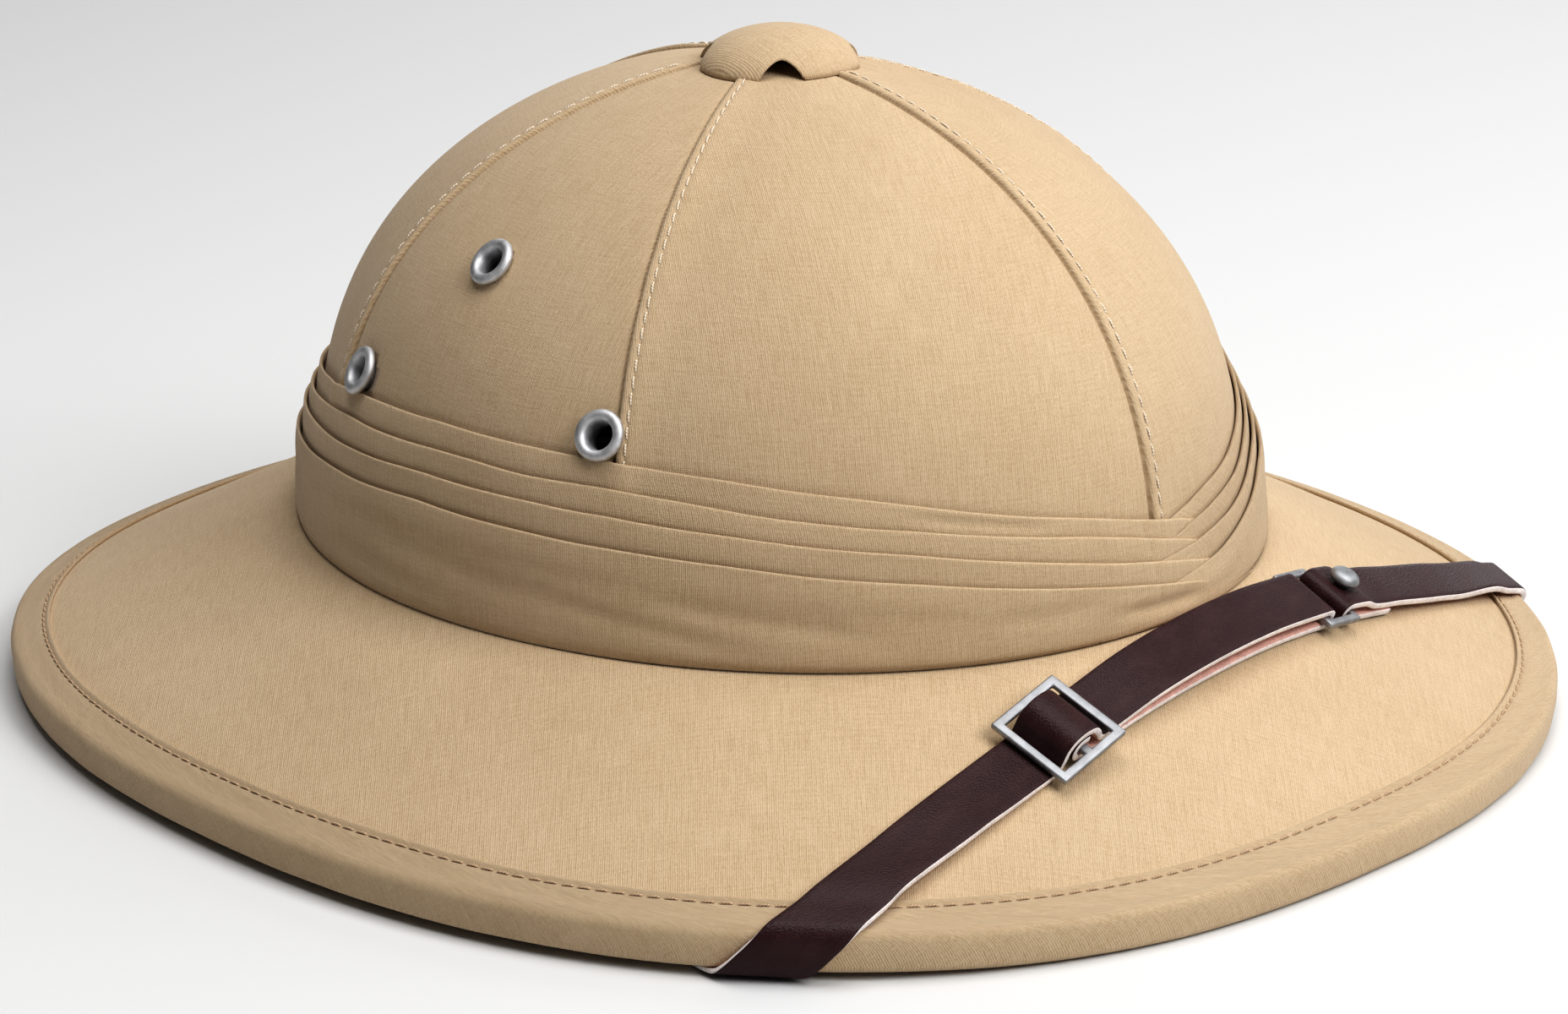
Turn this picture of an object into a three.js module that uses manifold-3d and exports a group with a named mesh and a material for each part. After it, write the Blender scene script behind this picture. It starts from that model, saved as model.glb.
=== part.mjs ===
// Sun helmet of the safari kind: a six-gore cloth crown with a vent cap and side eyelets, a pleated band,
// a sloping brim with a bound rim, and a leather chin strap laid over the front of the brim.
// Millimetres, +Z up, the front of the hat towards -Y, the wearer's right towards -X, the rim on z = 0.
// Angles go round the hat in degrees from its front, positive towards the wearer's right.
import * as THREE from "three";
import { mergeVertices } from "three/addons/utils/BufferGeometryUtils.js";
import Module from "manifold-3d";

// Driving dimensions

const FIT_GAP = 0.3;
const ROUND_STEPS = 60;
const DRILL_LENGTH = 18;
const SAME_POINT = 1e-4;

// The crown is a dome whose length and width each shrink as (1 - rise^bulge)^(1 / drop).
const CROWN = {
  halfLength: 110.1,
  halfWidth: 95.6,
  base: 34.3,
  foot: 36.9,
  top: 138.5,
  wall: 3,
  lengthBulge: 2.65,
  lengthDrop: 1.89,
  widthBulge: 2.76,
  widthDrop: 1.69,
  ventRadius: 8,
  ventSides: 24,
  outerRings: 9,
  innerRings: 5,
};

// Gore seams: where each one runs, and the side (+1 or -1) on which the upper gore's folded edge lies.
const SEAMS = [
  { angle: -2.5, lap: -1 },
  { angle: 61.7, lap: -1 },
  { angle: 118, lap: 1 },
  { angle: 180, lap: 1 },
  { angle: 240, lap: -1 },
  { angle: 300, lap: 1 },
];
const SEAM = { height: 0.6, step: 0.4, reach: 4.5, clear: 2 };

// The brim falls straight from the foot of the band to a thick edge bead.
const BRIM = {
  halfLength: 175,
  halfWidth: 156.4,
  squareness: 2.3,
  setBack: 2.4,
  footHeight: 36.6,
  plate: 4,
  beadSlope: 3.5,
};
// Section of the bead from its inner lower corner round to its top, inset from the rim's outline.
const BEAD_SECTION = [
  { inset: 9.5, height: 1.3 },
  { inset: 2.2, height: 1.3 },
  { inset: 1.3, height: 2.3 },
  { inset: 1.3, height: 5.4 },
  { inset: 1.9, height: 6.8 },
  { inset: 3.5, height: 7.7 },
];
const BEAD_TOP = BEAD_SECTION[BEAD_SECTION.length - 1];

// The rim lies flat at the front and the back and is lifted a little along the sides.
const LIFT = { height: 1.7, from: 15, full: 50 };

// The cloth binding is a channel folded round the bead.
// Its outside runs from the bottom up and its inside from the top down.
const BINDING = { width: 9, wall: 1 };
const BINDING_OUTSIDE = [
  { inset: BINDING.width, height: 0 },
  { inset: 1.8, height: 0 },
  { inset: 0.6, height: 0.5 },
  { inset: 0, height: 2 },
  { inset: 0, height: 5.5 },
  { inset: 0.8, height: 7.7 },
  { inset: 3, height: 9 },
];
const BINDING_INSIDE = [
  { inset: BEAD_TOP.inset, height: 8 },
  { inset: 1.5, height: 7.2 },
  { inset: BINDING.wall, height: 5.3 },
  { inset: BINDING.wall, height: 2 },
  { inset: 1.9, height: BINDING.wall },
  { inset: BINDING.width, height: BINDING.wall },
];

// Band folds from the top down: height at the sides, how far each dips at the front and at the back,
// and how far its upper edge stands off the crown.
const BAND_FOLDS = [
  { side: 76, frontDip: 19.3, backDip: 12.7, standOff: 1.2 },
  { side: 70.9, frontDip: 17.6, backDip: 12.3, standOff: 2.4 },
  { side: 66, frontDip: 17.4, backDip: 10.5, standOff: 3.6 },
  { side: 60.8, frontDip: 16.4, backDip: 11, standOff: 4.8 },
];
const BAND = {
  crossing: -5,
  rightReach: 80,
  leftReach: 38,
  foot: 36.95,
  footStandOff: 5.8,
  belly: 0.4,
  pleatSlack: 0.15,
  liningGap: 0.4,
};

// Vent cap: a shallow dome set a little forward, with four arched openings along its edge.
const CAP = {
  radius: 17.9,
  height: 9,
  base: 136.2,
  wall: 1.5,
  roundness: 1.9,
  forward: 4,
  rings: 4,
  archHeight: 4.3,
  archHalfAngle: 16,
};
const CAP_ARCHES = [41, 131, 221, 311];
const CAP_STEPS = [-16, -11.5, -7, -2.5, 2.5, 7, 11.5, 16, 30, 45, 60];
const POST = { radius: 3.2, sides: 20, barLength: 22, barWidth: 5, barThickness: 1.5, barTop: 133.4 };

// Eyelets of one side; the lower two sit over the band's upper edge, so they lean out at the bottom.
const EYELETS = [
  { place: "top", angle: 92, height: 105.2, lift: 0.3, lean: 0 },
  { place: "front", angle: 63.7, height: 79.2, lift: 1.2, lean: 9 },
  { place: "rear", angle: 111.2, height: 77.8, lift: 1.2, lean: 9 },
];
// Section of an eyelet: radius from its axis and height along it.
const EYELET_SECTION = [
  { radius: 2.9, height: -3.8 },
  { radius: 3.4, height: -3.8 },
  { radius: 3.4, height: 0 },
  { radius: 5, height: 0 },
  { radius: 5.4, height: 0.7 },
  { radius: 4.8, height: 1.6 },
  { radius: 3.7, height: 1.6 },
  { radius: 2.9, height: 0.5 },
];
const EYELET = { sides: 16, holeRadius: 3.9, holeSides: 12 };

// Chin strap: its lane across the brim in plan, from the right of the rim to the left.
const STRAP = { width: 12.8, leather: 1.6, lying: 1.25, step: 13 };
const STRAP_LANE = [
  { x: -90, y: -129.6 },
  { x: -45, y: -127 },
  { x: 0, y: -123.9 },
  { x: 43, y: -119 },
  { x: 85, y: -113.2 },
  { x: 110, y: -107.6 },
];
// Towards the rim the strap's two edges are set apart along the lane, so that its fold follows the rim,
// and the taut leather lifts to clear the binding.
const END_SKEW = { most: 7, reach: 34, lift: 1 };

// The slide buckle and the ring, each placed along the lane from its right end.
const BUCKLE = {
  along: 47.6,
  length: 18.2,
  width: 19.4,
  bar: 2.2,
  middleBar: 2,
  thickness: 1.4,
  height: 4.2,
  tilt: 7.6,
};
const RING = { along: 133.8, length: 11.6, width: 17.2, bar: 1.8, thickness: 1.5, height: 3.1 };
const RING_BAR = (RING.length - RING.bar) / 2;

// Middle of the leather along the lane and above the brim, from the buckle or from a bar of the ring.
// The long strap first runs from the rim through the buckle.
const BUCKLE_HUMP = [
  { along: -14, height: STRAP.lying },
  { along: -7.4, height: STRAP.lying },
  { along: -5.6, height: 2 },
  { along: -4.5, height: 3.8 },
  { along: -3.8, height: 6 },
  { along: -2.2, height: 7.6 },
  { along: 0, height: 8.1 },
  { along: 2.3, height: 7.5 },
  { along: 3.9, height: 5.7 },
  { along: 4.9, height: 4 },
  { along: 6.2, height: 3.2 },
  { along: 10, height: 3.15 },
  { along: 24, height: 5 },
  { along: 42, height: 5.8 },
  { along: 62, height: 5.6 },
  { along: 76, height: 5.1 },
];
// It then folds round the near bar of the ring.
const RING_FOLD = [
  { along: -1.4, height: 5.05 },
  { along: 0.9, height: 5 },
  { along: 2.1, height: 4.3 },
  { along: 2.45, height: 3.1 },
  { along: 2.1, height: 1.95 },
  { along: 0.9, height: 1.2 },
  { along: -1.4, height: 1.2 },
];
// It comes back under itself and ends in a loop round the buckle's middle bar.
const BUCKLE_LOOP = [
  { along: 62, height: 1.2 },
  { along: 42, height: 1.2 },
  { along: 24, height: 1.2 },
  { along: 10, height: 1.2 },
  { along: 4, height: 1.3 },
  { along: 0.8, height: 1.9 },
  { along: -1.5, height: 2.4 },
  { along: -2.4, height: 4 },
  { along: -1.5, height: 5.7 },
  { along: 0.3, height: 6.15 },
  { along: 1.4, height: 6 },
];
// The short strap starts under itself, folds round the far bar of the ring and runs to the left of the rim.
const SHORT_FOLD = [
  { along: 17, height: 1.2 },
  { along: 9, height: 1.2 },
  { along: 1.4, height: 1.2 },
  { along: -0.9, height: 1.2 },
  { along: -2.1, height: 1.95 },
  { along: -2.45, height: 3.1 },
  { along: -2.1, height: 4.3 },
  { along: -0.9, height: 5 },
  { along: 1.4, height: 5 },
  { along: 5.6, height: 4.75 },
  { along: 9, height: 3.7 },
  { along: 13, height: 3.3 },
  { along: 19, height: 3.2 },
  { along: 30, height: 2.7 },
  { along: 44, height: 1.9 },
];
// Where the strap turns round the rim: inset of the leather's middle, its height over the rim's lower face.
const RIM_WRAP = [
  { inset: 9, height: 13.7, leather: 1.6 },
  { inset: 5.2, height: 11.7, leather: 1.6 },
  { inset: 2.2, height: 10.5, leather: 1.6 },
  { inset: 0, height: 9.4, leather: 1.6 },
  { inset: -1.2, height: 7.6, leather: 1.6 },
  { inset: -1.45, height: 5.2, leather: 1.5 },
  { inset: -1.3, height: 2, leather: 1.3 },
  { inset: -0.4, height: -0.2, leather: 1.1 },
  { inset: 1.6, height: -0.85, leather: 1 },
  { inset: 10.5, height: -0.85, leather: 1 },
];
// Where each end crosses under the rim and where it is fastened inside the brim.
const LONG_END = { crossing: 42.8, x: -116, y: -14 };
const SHORT_END = { crossing: -54.4, x: 118, y: -14 };
const UNDER_RUN = { startInset: 17, steps: 6 };

// The stud's head is a dome over a short neck; its section goes up from the leather.
const STUD = { along: 3.5, height: 6.05, sides: 16 };
const STUD_SECTION = [
  { radius: 0, height: 0 },
  { radius: 1.5, height: 0 },
  { radius: 1.5, height: 0.9 },
  { radius: 3.1, height: 1.9 },
  { radius: 2.9, height: 2.5 },
  { radius: 2.2, height: 3.3 },
  { radius: 1.1, height: 3.7 },
  { radius: 0, height: 3.8 },
];
const ANCHOR = { radius: 5, thickness: 1.5, endLength: 6.5, sides: 16 };

const CLOTH = { color: 0xc9a877, roughness: 0.9, metalness: 0 };
const LEATHER = { color: 0x33211f, roughness: 0.5, metalness: 0 };
const SILVER = { color: 0xb9babd, roughness: 0.35, metalness: 1 };

// Shared geometry

const wasm = await Module();
wasm.setup();

const radians = THREE.MathUtils.degToRad;
const mix = THREE.MathUtils.lerp;
const smooth = THREE.MathUtils.smoothstep;

function polar(angle, radius, z) {
  return new THREE.Vector3(-radius * Math.sin(radians(angle)), -radius * Math.cos(radians(angle)), z);
}

// Signed angle from one direction to another, between -180 and 180.
function turn(from, to) {
  return THREE.MathUtils.euclideanModulo(to - from + 180, 360) - 180;
}

// A closed geometry from triangle corners: shared corners become one, and empty triangles go.
function closedGeometry(corners) {
  const merged = mergeVertices(new THREE.BufferGeometry().setFromPoints(corners), SAME_POINT);
  const index = [];
  for (let i = 0; i < merged.index.count; i += 3) {
    const [a, b, c] = [0, 1, 2].map((k) => merged.index.getX(i + k));
    if (a !== b && b !== c && c !== a) index.push(a, b, c);
  }
  return merged.setIndex(index);
}

// The two triangles of the quad a, b, c, d.
function quad(a, b, c, d) {
  return [a, b, c, a, c, d];
}

// A ring of equal sections, one at each angle; every section is a closed loop of points.
function ringGeometry(angles, sectionAt) {
  const sections = angles.map(sectionAt);
  const corners = sections.flatMap((section, i) => {
    const next = sections[(i + 1) % sections.length];
    return section.flatMap((point, j) => {
      const k = (j + 1) % section.length;
      return quad(point, section[k], next[k], next[j]);
    });
  });
  return closedGeometry(corners);
}

// A strip of leather through stations that give its two edges' middles and its thickness.
function stripGeometry(stations) {
  const middles = stations.map(({ near, far }) => near.clone().lerp(far, 0.5));
  const sections = stations.map(({ near, far, leather }, i) => {
    const before = middles[Math.max(i - 1, 0)];
    const after = middles[Math.min(i + 1, middles.length - 1)];
    const along = after.clone().sub(before);
    const half = far.clone().sub(near).cross(along).setLength(leather / 2);
    return [
      near.clone().sub(half),
      far.clone().sub(half),
      far.clone().add(half),
      near.clone().add(half),
    ];
  });
  const corners = sections.slice(1).flatMap((section, i) =>
    section.flatMap((point, j) => {
      const k = (j + 1) % section.length;
      return quad(sections[i][j], point, section[k], sections[i][k]);
    }),
  );
  const first = sections[0];
  const last = sections[sections.length - 1];
  corners.push(...quad(...first), ...quad(last[3], last[2], last[1], last[0]));
  return closedGeometry(corners);
}

function solidOf(geometry, matrix = new THREE.Matrix4()) {
  const plain = new THREE.BufferGeometry();
  plain.setAttribute("position", geometry.getAttribute("position").clone());
  plain.setIndex(geometry.index);
  const merged = mergeVertices(plain.applyMatrix4(matrix), SAME_POINT);
  const mesh = new wasm.Mesh({
    numProp: 3,
    vertProperties: merged.getAttribute("position").array,
    triVerts: new Uint32Array(merged.index.array),
  });
  return new wasm.Manifold(mesh);
}

function geometryOf(solid) {
  const mesh = solid.getMesh();
  const geometry = new THREE.BufferGeometry();
  geometry.setAttribute("position", new THREE.BufferAttribute(mesh.vertProperties, 3));
  return geometry.setIndex(new THREE.BufferAttribute(mesh.triVerts, 1));
}

const assembly = new THREE.Group();
assembly.position.y = -BRIM.setBack;

function addPiece(name, geometry, finish) {
  const shaded = geometry.index ? geometry.toNonIndexed() : geometry;
  shaded.computeVertexNormals();
  const piece = new THREE.Mesh(shaded, new THREE.MeshStandardMaterial(finish));
  piece.name = name;
  assembly.add(piece);
  return piece;
}

// Shape of the crown

// Height of the seam ridge at an angle: a short step up to the folded edge, then a long fall.
function seamRelief(angle) {
  return SEAMS.reduce((relief, seam) => {
    const offset = turn(seam.angle, angle) * seam.lap;
    const rise = THREE.MathUtils.clamp((offset + SEAM.step) / SEAM.step, 0, 1);
    const fall = 1 - smooth(offset, 0, SEAM.reach);
    return Math.max(relief, SEAM.height * rise * fall);
  }, 0);
}

// Plain dome radius at an angle and a height, for the outer face or a face set in from it.
function domeRadius(angle, z, inset = 0) {
  const rise = (z - CROWN.base) / (CROWN.top - inset - CROWN.base);
  if (rise >= 1) return 0;
  const long = (CROWN.halfLength - inset) * (1 - rise ** CROWN.lengthBulge) ** (1 / CROWN.lengthDrop);
  const wide = (CROWN.halfWidth - inset) * (1 - rise ** CROWN.widthBulge) ** (1 / CROWN.widthDrop);
  return 1 / Math.hypot(Math.sin(radians(angle)) / wide, Math.cos(radians(angle)) / long);
}

// Outer face of the crown with its seam ridges.
function crownRadius(angle, z) {
  const dome = domeRadius(angle, z);
  return dome + seamRelief(angle) * Math.min(1, dome / CROWN.halfWidth);
}

// Height of the dome above a point in plan.
function domeHeight(x, y) {
  const angle = THREE.MathUtils.radToDeg(Math.atan2(-x, -y));
  let [low, high] = [CROWN.foot, CROWN.top];
  while (high - low > FIT_GAP / 100) {
    const middle = (low + high) / 2;
    if (domeRadius(angle, middle) > Math.hypot(x, y)) low = middle;
    else high = middle;
  }
  return low;
}

// Outward normal of the dome.
function domeNormal(angle, z) {
  const step = 0.5;
  const round = polar(angle + step, domeRadius(angle + step, z), z).sub(
    polar(angle - step, domeRadius(angle - step, z), z),
  );
  const upward = polar(angle, domeRadius(angle, z + step), z + step).sub(
    polar(angle, domeRadius(angle, z - step), z - step),
  );
  return upward.cross(round).normalize();
}

// Angles at which the crown and the band are drawn: an even round, refined at each seam.
const EVEN_ANGLES = Array.from({ length: ROUND_STEPS }, (_, i) => (i * 360) / ROUND_STEPS);
const seamAngles = SEAMS.flatMap(({ angle, lap }) =>
  [-SEAM.step, 0, SEAM.reach].map((offset) => angle + offset * lap),
);
const clearOfSeams = EVEN_ANGLES.filter((angle) =>
  seamAngles.every((seam) => Math.abs(turn(seam, angle)) > SEAM.clear),
);
const GORE_ANGLES = [...clearOfSeams, ...seamAngles]
  .map((angle) => THREE.MathUtils.euclideanModulo(angle, 360))
  .sort((a, b) => a - b);

// Levels of a dome face from its foot to its top, closer together where it turns over.
function domeLevels(rings, inset) {
  return Array.from({ length: rings + 1 }, (_, i) =>
    mix(CROWN.foot, CROWN.top - inset, Math.sin((i / rings) * (Math.PI / 2))),
  );
}

// Shape of the brim and rim

function rimRadius(angle) {
  const wide = Math.abs(Math.sin(radians(angle))) / BRIM.halfWidth;
  const long = Math.abs(Math.cos(radians(angle))) / BRIM.halfLength;
  const round = (wide ** BRIM.squareness + long ** BRIM.squareness) ** (-1 / BRIM.squareness);
  return round - BRIM.setBack * Math.cos(radians(angle));
}

function rimLift(angle) {
  const side = Math.abs(Math.sin(radians(angle)));
  return LIFT.height * smooth(side, Math.sin(radians(LIFT.from)), Math.sin(radians(LIFT.full)));
}

// Upper face of the brim at an angle and a radius.
function brimTop(angle, radius) {
  const foot = domeRadius(angle, CROWN.foot) + BAND.footStandOff;
  const edge = rimRadius(angle) - BEAD_TOP.inset;
  const out = THREE.MathUtils.clamp((radius - foot) / (edge - foot), 0, 1);
  return mix(BRIM.footHeight, rimLift(angle) + BEAD_TOP.height, out);
}

// Upper face of whatever the strap lies on: the brim, or the binding near the rim.
function restHeight(x, y) {
  const angle = THREE.MathUtils.radToDeg(Math.atan2(-x, -y));
  const radius = Math.hypot(x, y);
  const bound = rimRadius(angle) - radius < BINDING.width + STRAP.leather;
  return brimTop(angle, radius) + (bound ? BINDING.wall + FIT_GAP : 0);
}

// Middle of the leather that runs along the brim's lower face.
function underHeight(x, y) {
  const angle = THREE.MathUtils.radToDeg(Math.atan2(-x, -y));
  return brimTop(angle, Math.hypot(x, y)) - BRIM.plate - FIT_GAP - STRAP.leather;
}

// A point of a rim section from its inset and its height over the rim's lower face.
function rimPoint(angle, inset, height) {
  return polar(angle, rimRadius(angle) - inset, rimLift(angle) + height);
}

// Crown: a shell with a vent hole at the top and six eyelet holes

const crownShell = ringGeometry(GORE_ANGLES, (angle) => {
  const outer = domeLevels(CROWN.outerRings, 0).map((z) => polar(angle, crownRadius(angle, z), z));
  const inner = domeLevels(CROWN.innerRings, CROWN.wall).map((z) =>
    polar(angle, domeRadius(angle, z, CROWN.wall), z),
  );
  return [...outer, ...inner.reverse()];
});

// Stands a piece that was turned about Y along an axis.
function standAlong(axis, position) {
  const turned = new THREE.Quaternion().setFromUnitVectors(new THREE.Vector3(0, 1, 0), axis);
  return new THREE.Matrix4().compose(position, turned, new THREE.Vector3(1, 1, 1));
}

const eyeletPlaces = ["right", "left"].flatMap((side) =>
  EYELETS.map(({ place, angle, height, lift, lean }) => {
    const around = side === "right" ? angle : -angle;
    const axis = domeNormal(around, height);
    const level = new THREE.Vector3(-axis.y, axis.x, 0).normalize();
    axis.applyAxisAngle(level, -radians(lean));
    const position = polar(around, domeRadius(around, height), height).addScaledVector(axis, lift);
    return { name: `eyelet_${side}_${place}`, matrix: standAlong(axis, position) };
  }),
);

function drill(radius, sides) {
  return new THREE.CylinderGeometry(radius, radius, DRILL_LENGTH, sides);
}

const upright = new THREE.Vector3(0, 0, 1);
const capCentre = new THREE.Vector3(0, -CAP.forward, CROWN.top);
const eyeletDrill = drill(EYELET.holeRadius, EYELET.holeSides);
const holes = eyeletPlaces.map(({ matrix }) => solidOf(eyeletDrill, matrix));
holes.push(solidOf(drill(CROWN.ventRadius, CROWN.ventSides), standAlong(upright, capCentre)));
const crownSolid = holes.reduce((solid, hole) => solid.subtract(hole), solidOf(crownShell));
addPiece("crown", geometryOf(crownSolid), CLOTH);

// Brim: a plate with a bead along its edge, hollow for the head

const brimGeometry = ringGeometry(EVEN_ANGLES, (angle) => {
  const inner = domeRadius(angle, CROWN.foot, CROWN.wall);
  const foot = domeRadius(angle, CROWN.foot) + BAND.footStandOff;
  const beadStart = rimRadius(angle) - BEAD_SECTION[0].inset - BRIM.beadSlope;
  return [
    polar(angle, inner, BRIM.footHeight - BRIM.plate),
    polar(angle, foot, BRIM.footHeight - BRIM.plate),
    polar(angle, beadStart, brimTop(angle, beadStart) - BRIM.plate),
    ...BEAD_SECTION.map(({ inset, height }) => rimPoint(angle, inset, height)),
    polar(angle, foot, BRIM.footHeight),
    polar(angle, inner, BRIM.footHeight),
  ];
});
addPiece("brim", brimGeometry, CLOTH);

// Binding: a channel of cloth round the bead

const bindingGeometry = ringGeometry(EVEN_ANGLES, (angle) => {
  const innerEdge = rimRadius(angle) - BINDING.width;
  const innerTop = brimTop(angle, innerEdge) + FIT_GAP;
  return [
    ...BINDING_OUTSIDE.map(({ inset, height }) => rimPoint(angle, inset, height)),
    polar(angle, innerEdge, innerTop + BINDING.wall),
    polar(angle, innerEdge, innerTop),
    ...BINDING_INSIDE.map(({ inset, height }) => rimPoint(angle, inset, height)),
  ];
});
addPiece("brim_binding", bindingGeometry, CLOTH);

// Band: pleats whose folded edges face up, each one standing out over the one above

// Share of a fold's dip at an angle: deepest where the folds cross at the front.
function frontShare(angle) {
  const offset = turn(BAND.crossing, angle);
  if (offset >= 0) return Math.max(0, 1 - offset / BAND.rightReach) ** 2;
  return Math.cos(Math.min(1, -offset / BAND.leftReach) * (Math.PI / 2)) ** 2;
}

function backShare(angle) {
  return Math.max(0, -Math.cos(radians(angle))) ** 2;
}

function foldHeight(fold, angle) {
  return fold.side - fold.frontDip * frontShare(angle) - fold.backDip * backShare(angle);
}

const bandGeometry = ringGeometry(GORE_ANGLES, (angle) => {
  const at = (z, standOff) => polar(angle, crownRadius(angle, z) + standOff, z);
  const heights = BAND_FOLDS.map((fold) => foldHeight(fold, angle));
  const lowest = heights[heights.length - 1];
  const lowestStandOff = BAND_FOLDS[BAND_FOLDS.length - 1].standOff;
  const pleats = heights.slice(0, -1).flatMap((z, i) => {
    const { standOff } = BAND_FOLDS[i];
    return [at(z, standOff), at(heights[i + 1], standOff + BAND.pleatSlack)];
  });
  const waist = mix(BAND.foot, lowest, BAND.belly);
  const plainPart = [
    at(lowest, lowestStandOff),
    at(waist, mix(BAND.footStandOff, lowestStandOff, BAND.belly)),
    at(BAND.foot, BAND.footStandOff),
  ];
  const lining = [BAND.foot, waist, ...heights.toReversed()].map((z) => at(z, BAND.liningGap));
  return [...pleats, ...plainPart, ...lining].reverse();
});
addPiece("band", bandGeometry, CLOTH);

// Vent cap and the post that carries it

function capRadius(z) {
  const rise = THREE.MathUtils.clamp((z - CAP.base) / CAP.height, 0, 1);
  return CAP.radius * (1 - rise ** CAP.roundness) ** (1 / CAP.roundness);
}

// Lower edge of the cap: on the crown, and up over each arch.
function capEdge(angle, arch) {
  const point = polar(angle, CAP.radius, 0).add(capCentre);
  const offset = Math.min(1, Math.abs(turn(arch, angle)) / CAP.archHalfAngle);
  return domeHeight(point.x, point.y) + FIT_GAP + CAP.archHeight * Math.cos((offset * Math.PI) / 2);
}

const capSections = CAP_ARCHES.flatMap((arch) => CAP_STEPS.map((step) => ({ arch, angle: arch + step })));
const capGeometry = ringGeometry(capSections, ({ arch, angle }) => {
  const edge = capEdge(angle, arch);
  const levels = Array.from({ length: CAP.rings + 1 }, (_, i) =>
    mix(edge, CAP.base + CAP.height, Math.sin((i / CAP.rings) * (Math.PI / 2))),
  );
  const outer = levels.map((z) => polar(angle, capRadius(z), z));
  const inner = outer.map((point, i) => {
    const across = Math.max(0, capRadius(levels[i]) - CAP.wall);
    const sunk = CAP.wall * Math.sin((i / CAP.rings) * (Math.PI / 2));
    return polar(angle, i === CAP.rings ? 0 : across, point.z - sunk);
  });
  return [...outer, ...inner.reverse()];
});
addPiece("vent_cap", capGeometry, CLOTH).position.y = -CAP.forward;

const postHeight = CAP.base + CAP.height - CAP.wall - 2 * FIT_GAP - POST.barTop + POST.barThickness;
const postStem = new THREE.CylinderGeometry(POST.radius, POST.radius, postHeight, POST.sides);
const stemMiddle = new THREE.Vector3(0, 0, POST.barTop - POST.barThickness + postHeight / 2);
const postBar = new THREE.BoxGeometry(POST.barLength, POST.barWidth, POST.barThickness);
const barMiddle = new THREE.Matrix4().makeTranslation(0, 0, POST.barTop - POST.barThickness / 2);
const stem = solidOf(postStem, standAlong(upright, stemMiddle));
const postGeometry = geometryOf(stem.add(solidOf(postBar, barMiddle)));
addPiece("cap_post", postGeometry, SILVER).position.y = -CAP.forward;

// Eyelets: rolled metal rings whose barrels pass through the crown

function profileOf(rows) {
  return rows.map(({ radius, height }) => new THREE.Vector2(radius, height));
}

const eyeletProfile = profileOf([...EYELET_SECTION, EYELET_SECTION[0]]);
for (const { name, matrix } of eyeletPlaces) {
  const eyelet = addPiece(name, new THREE.LatheGeometry(eyeletProfile, EYELET.sides), SILVER);
  eyelet.applyMatrix4(matrix);
}

// Chin strap

const lane = new THREE.CatmullRomCurve3(STRAP_LANE.map(({ x, y }) => new THREE.Vector3(x, y, 0)));
const laneLength = lane.getLength();

// A point in plan lifted onto a surface that is given as a height over the plan.
function raised(point, heightAt) {
  return new THREE.Vector3(point.x, point.y, heightAt(point.x, point.y));
}

// Slope of such a surface along a direction in plan.
function slopeAlong(point, direction, heightAt) {
  const ahead = raised(point.clone().add(direction), heightAt);
  return ahead.sub(raised(point.clone().sub(direction), heightAt)).normalize();
}

// A surface's own directions at a point: ahead along a direction in plan, across it, and up.
function surfaceFrame(point, direction, heightAt) {
  const ahead = slopeAlong(point, direction, heightAt);
  const sideways = slopeAlong(point, new THREE.Vector3(-direction.y, direction.x, 0), heightAt);
  const up = ahead.clone().cross(sideways).normalize();
  return { point: raised(point, heightAt), ahead, across: up.clone().cross(ahead), up };
}

function laneFrame(along) {
  const share = along / laneLength;
  return surfaceFrame(lane.getPointAt(share), lane.getTangentAt(share), restHeight);
}

function endSkew(along) {
  const atRight = 1 - smooth(along, END_SKEW.most, END_SKEW.reach);
  const atLeft = smooth(along, laneLength - END_SKEW.reach, laneLength - END_SKEW.most);
  return END_SKEW.most * (atRight - atLeft);
}

// A station of the strap on the lane, with its leather's middle at a height above the brim.
function laneStation(along, height) {
  const skew = endSkew(along);
  const [near, far] = [-1, 1].map((side) => {
    const { point, across, up } = laneFrame(along - side * skew);
    const edge = raised(point.addScaledVector(across, (side * STRAP.width) / 2), restHeight);
    return edge.addScaledVector(up, height + (END_SKEW.lift * Math.abs(skew)) / END_SKEW.most);
  });
  return { near, far, leather: STRAP.leather };
}

function laneStations(rows, origin) {
  return rows.map(({ along, height }) => laneStation(origin + along, height));
}

// Plain stretch lying on the brim between two places along the lane.
function lyingStations(from, to) {
  const steps = Math.ceil(Math.abs(to - from) / STRAP.step);
  return Array.from({ length: steps + 1 }, (_, i) => laneStation(mix(from, to, i / steps), STRAP.lying));
}

// Angle at which a straight line in plan, going out, comes within an inset of the rim.
function angleAtInset(start, direction, inset) {
  const angleOf = (p) => THREE.MathUtils.radToDeg(Math.atan2(-p.x, -p.y));
  const point = start.clone();
  let short = Infinity;
  while (Math.abs(short) > FIT_GAP / 100) {
    short = rimRadius(angleOf(point)) - inset - Math.hypot(point.x, point.y);
    point.addScaledVector(direction, short);
  }
  return angleOf(point);
}

// Length of the turn round the rim from its first row to each row.
const wrapLengths = [0];
for (let i = 1; i < RIM_WRAP.length; i++) {
  const [before, row] = [RIM_WRAP[i - 1], RIM_WRAP[i]];
  wrapLengths.push(wrapLengths[i - 1] + Math.hypot(row.inset - before.inset, row.height - before.height));
}

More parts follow.
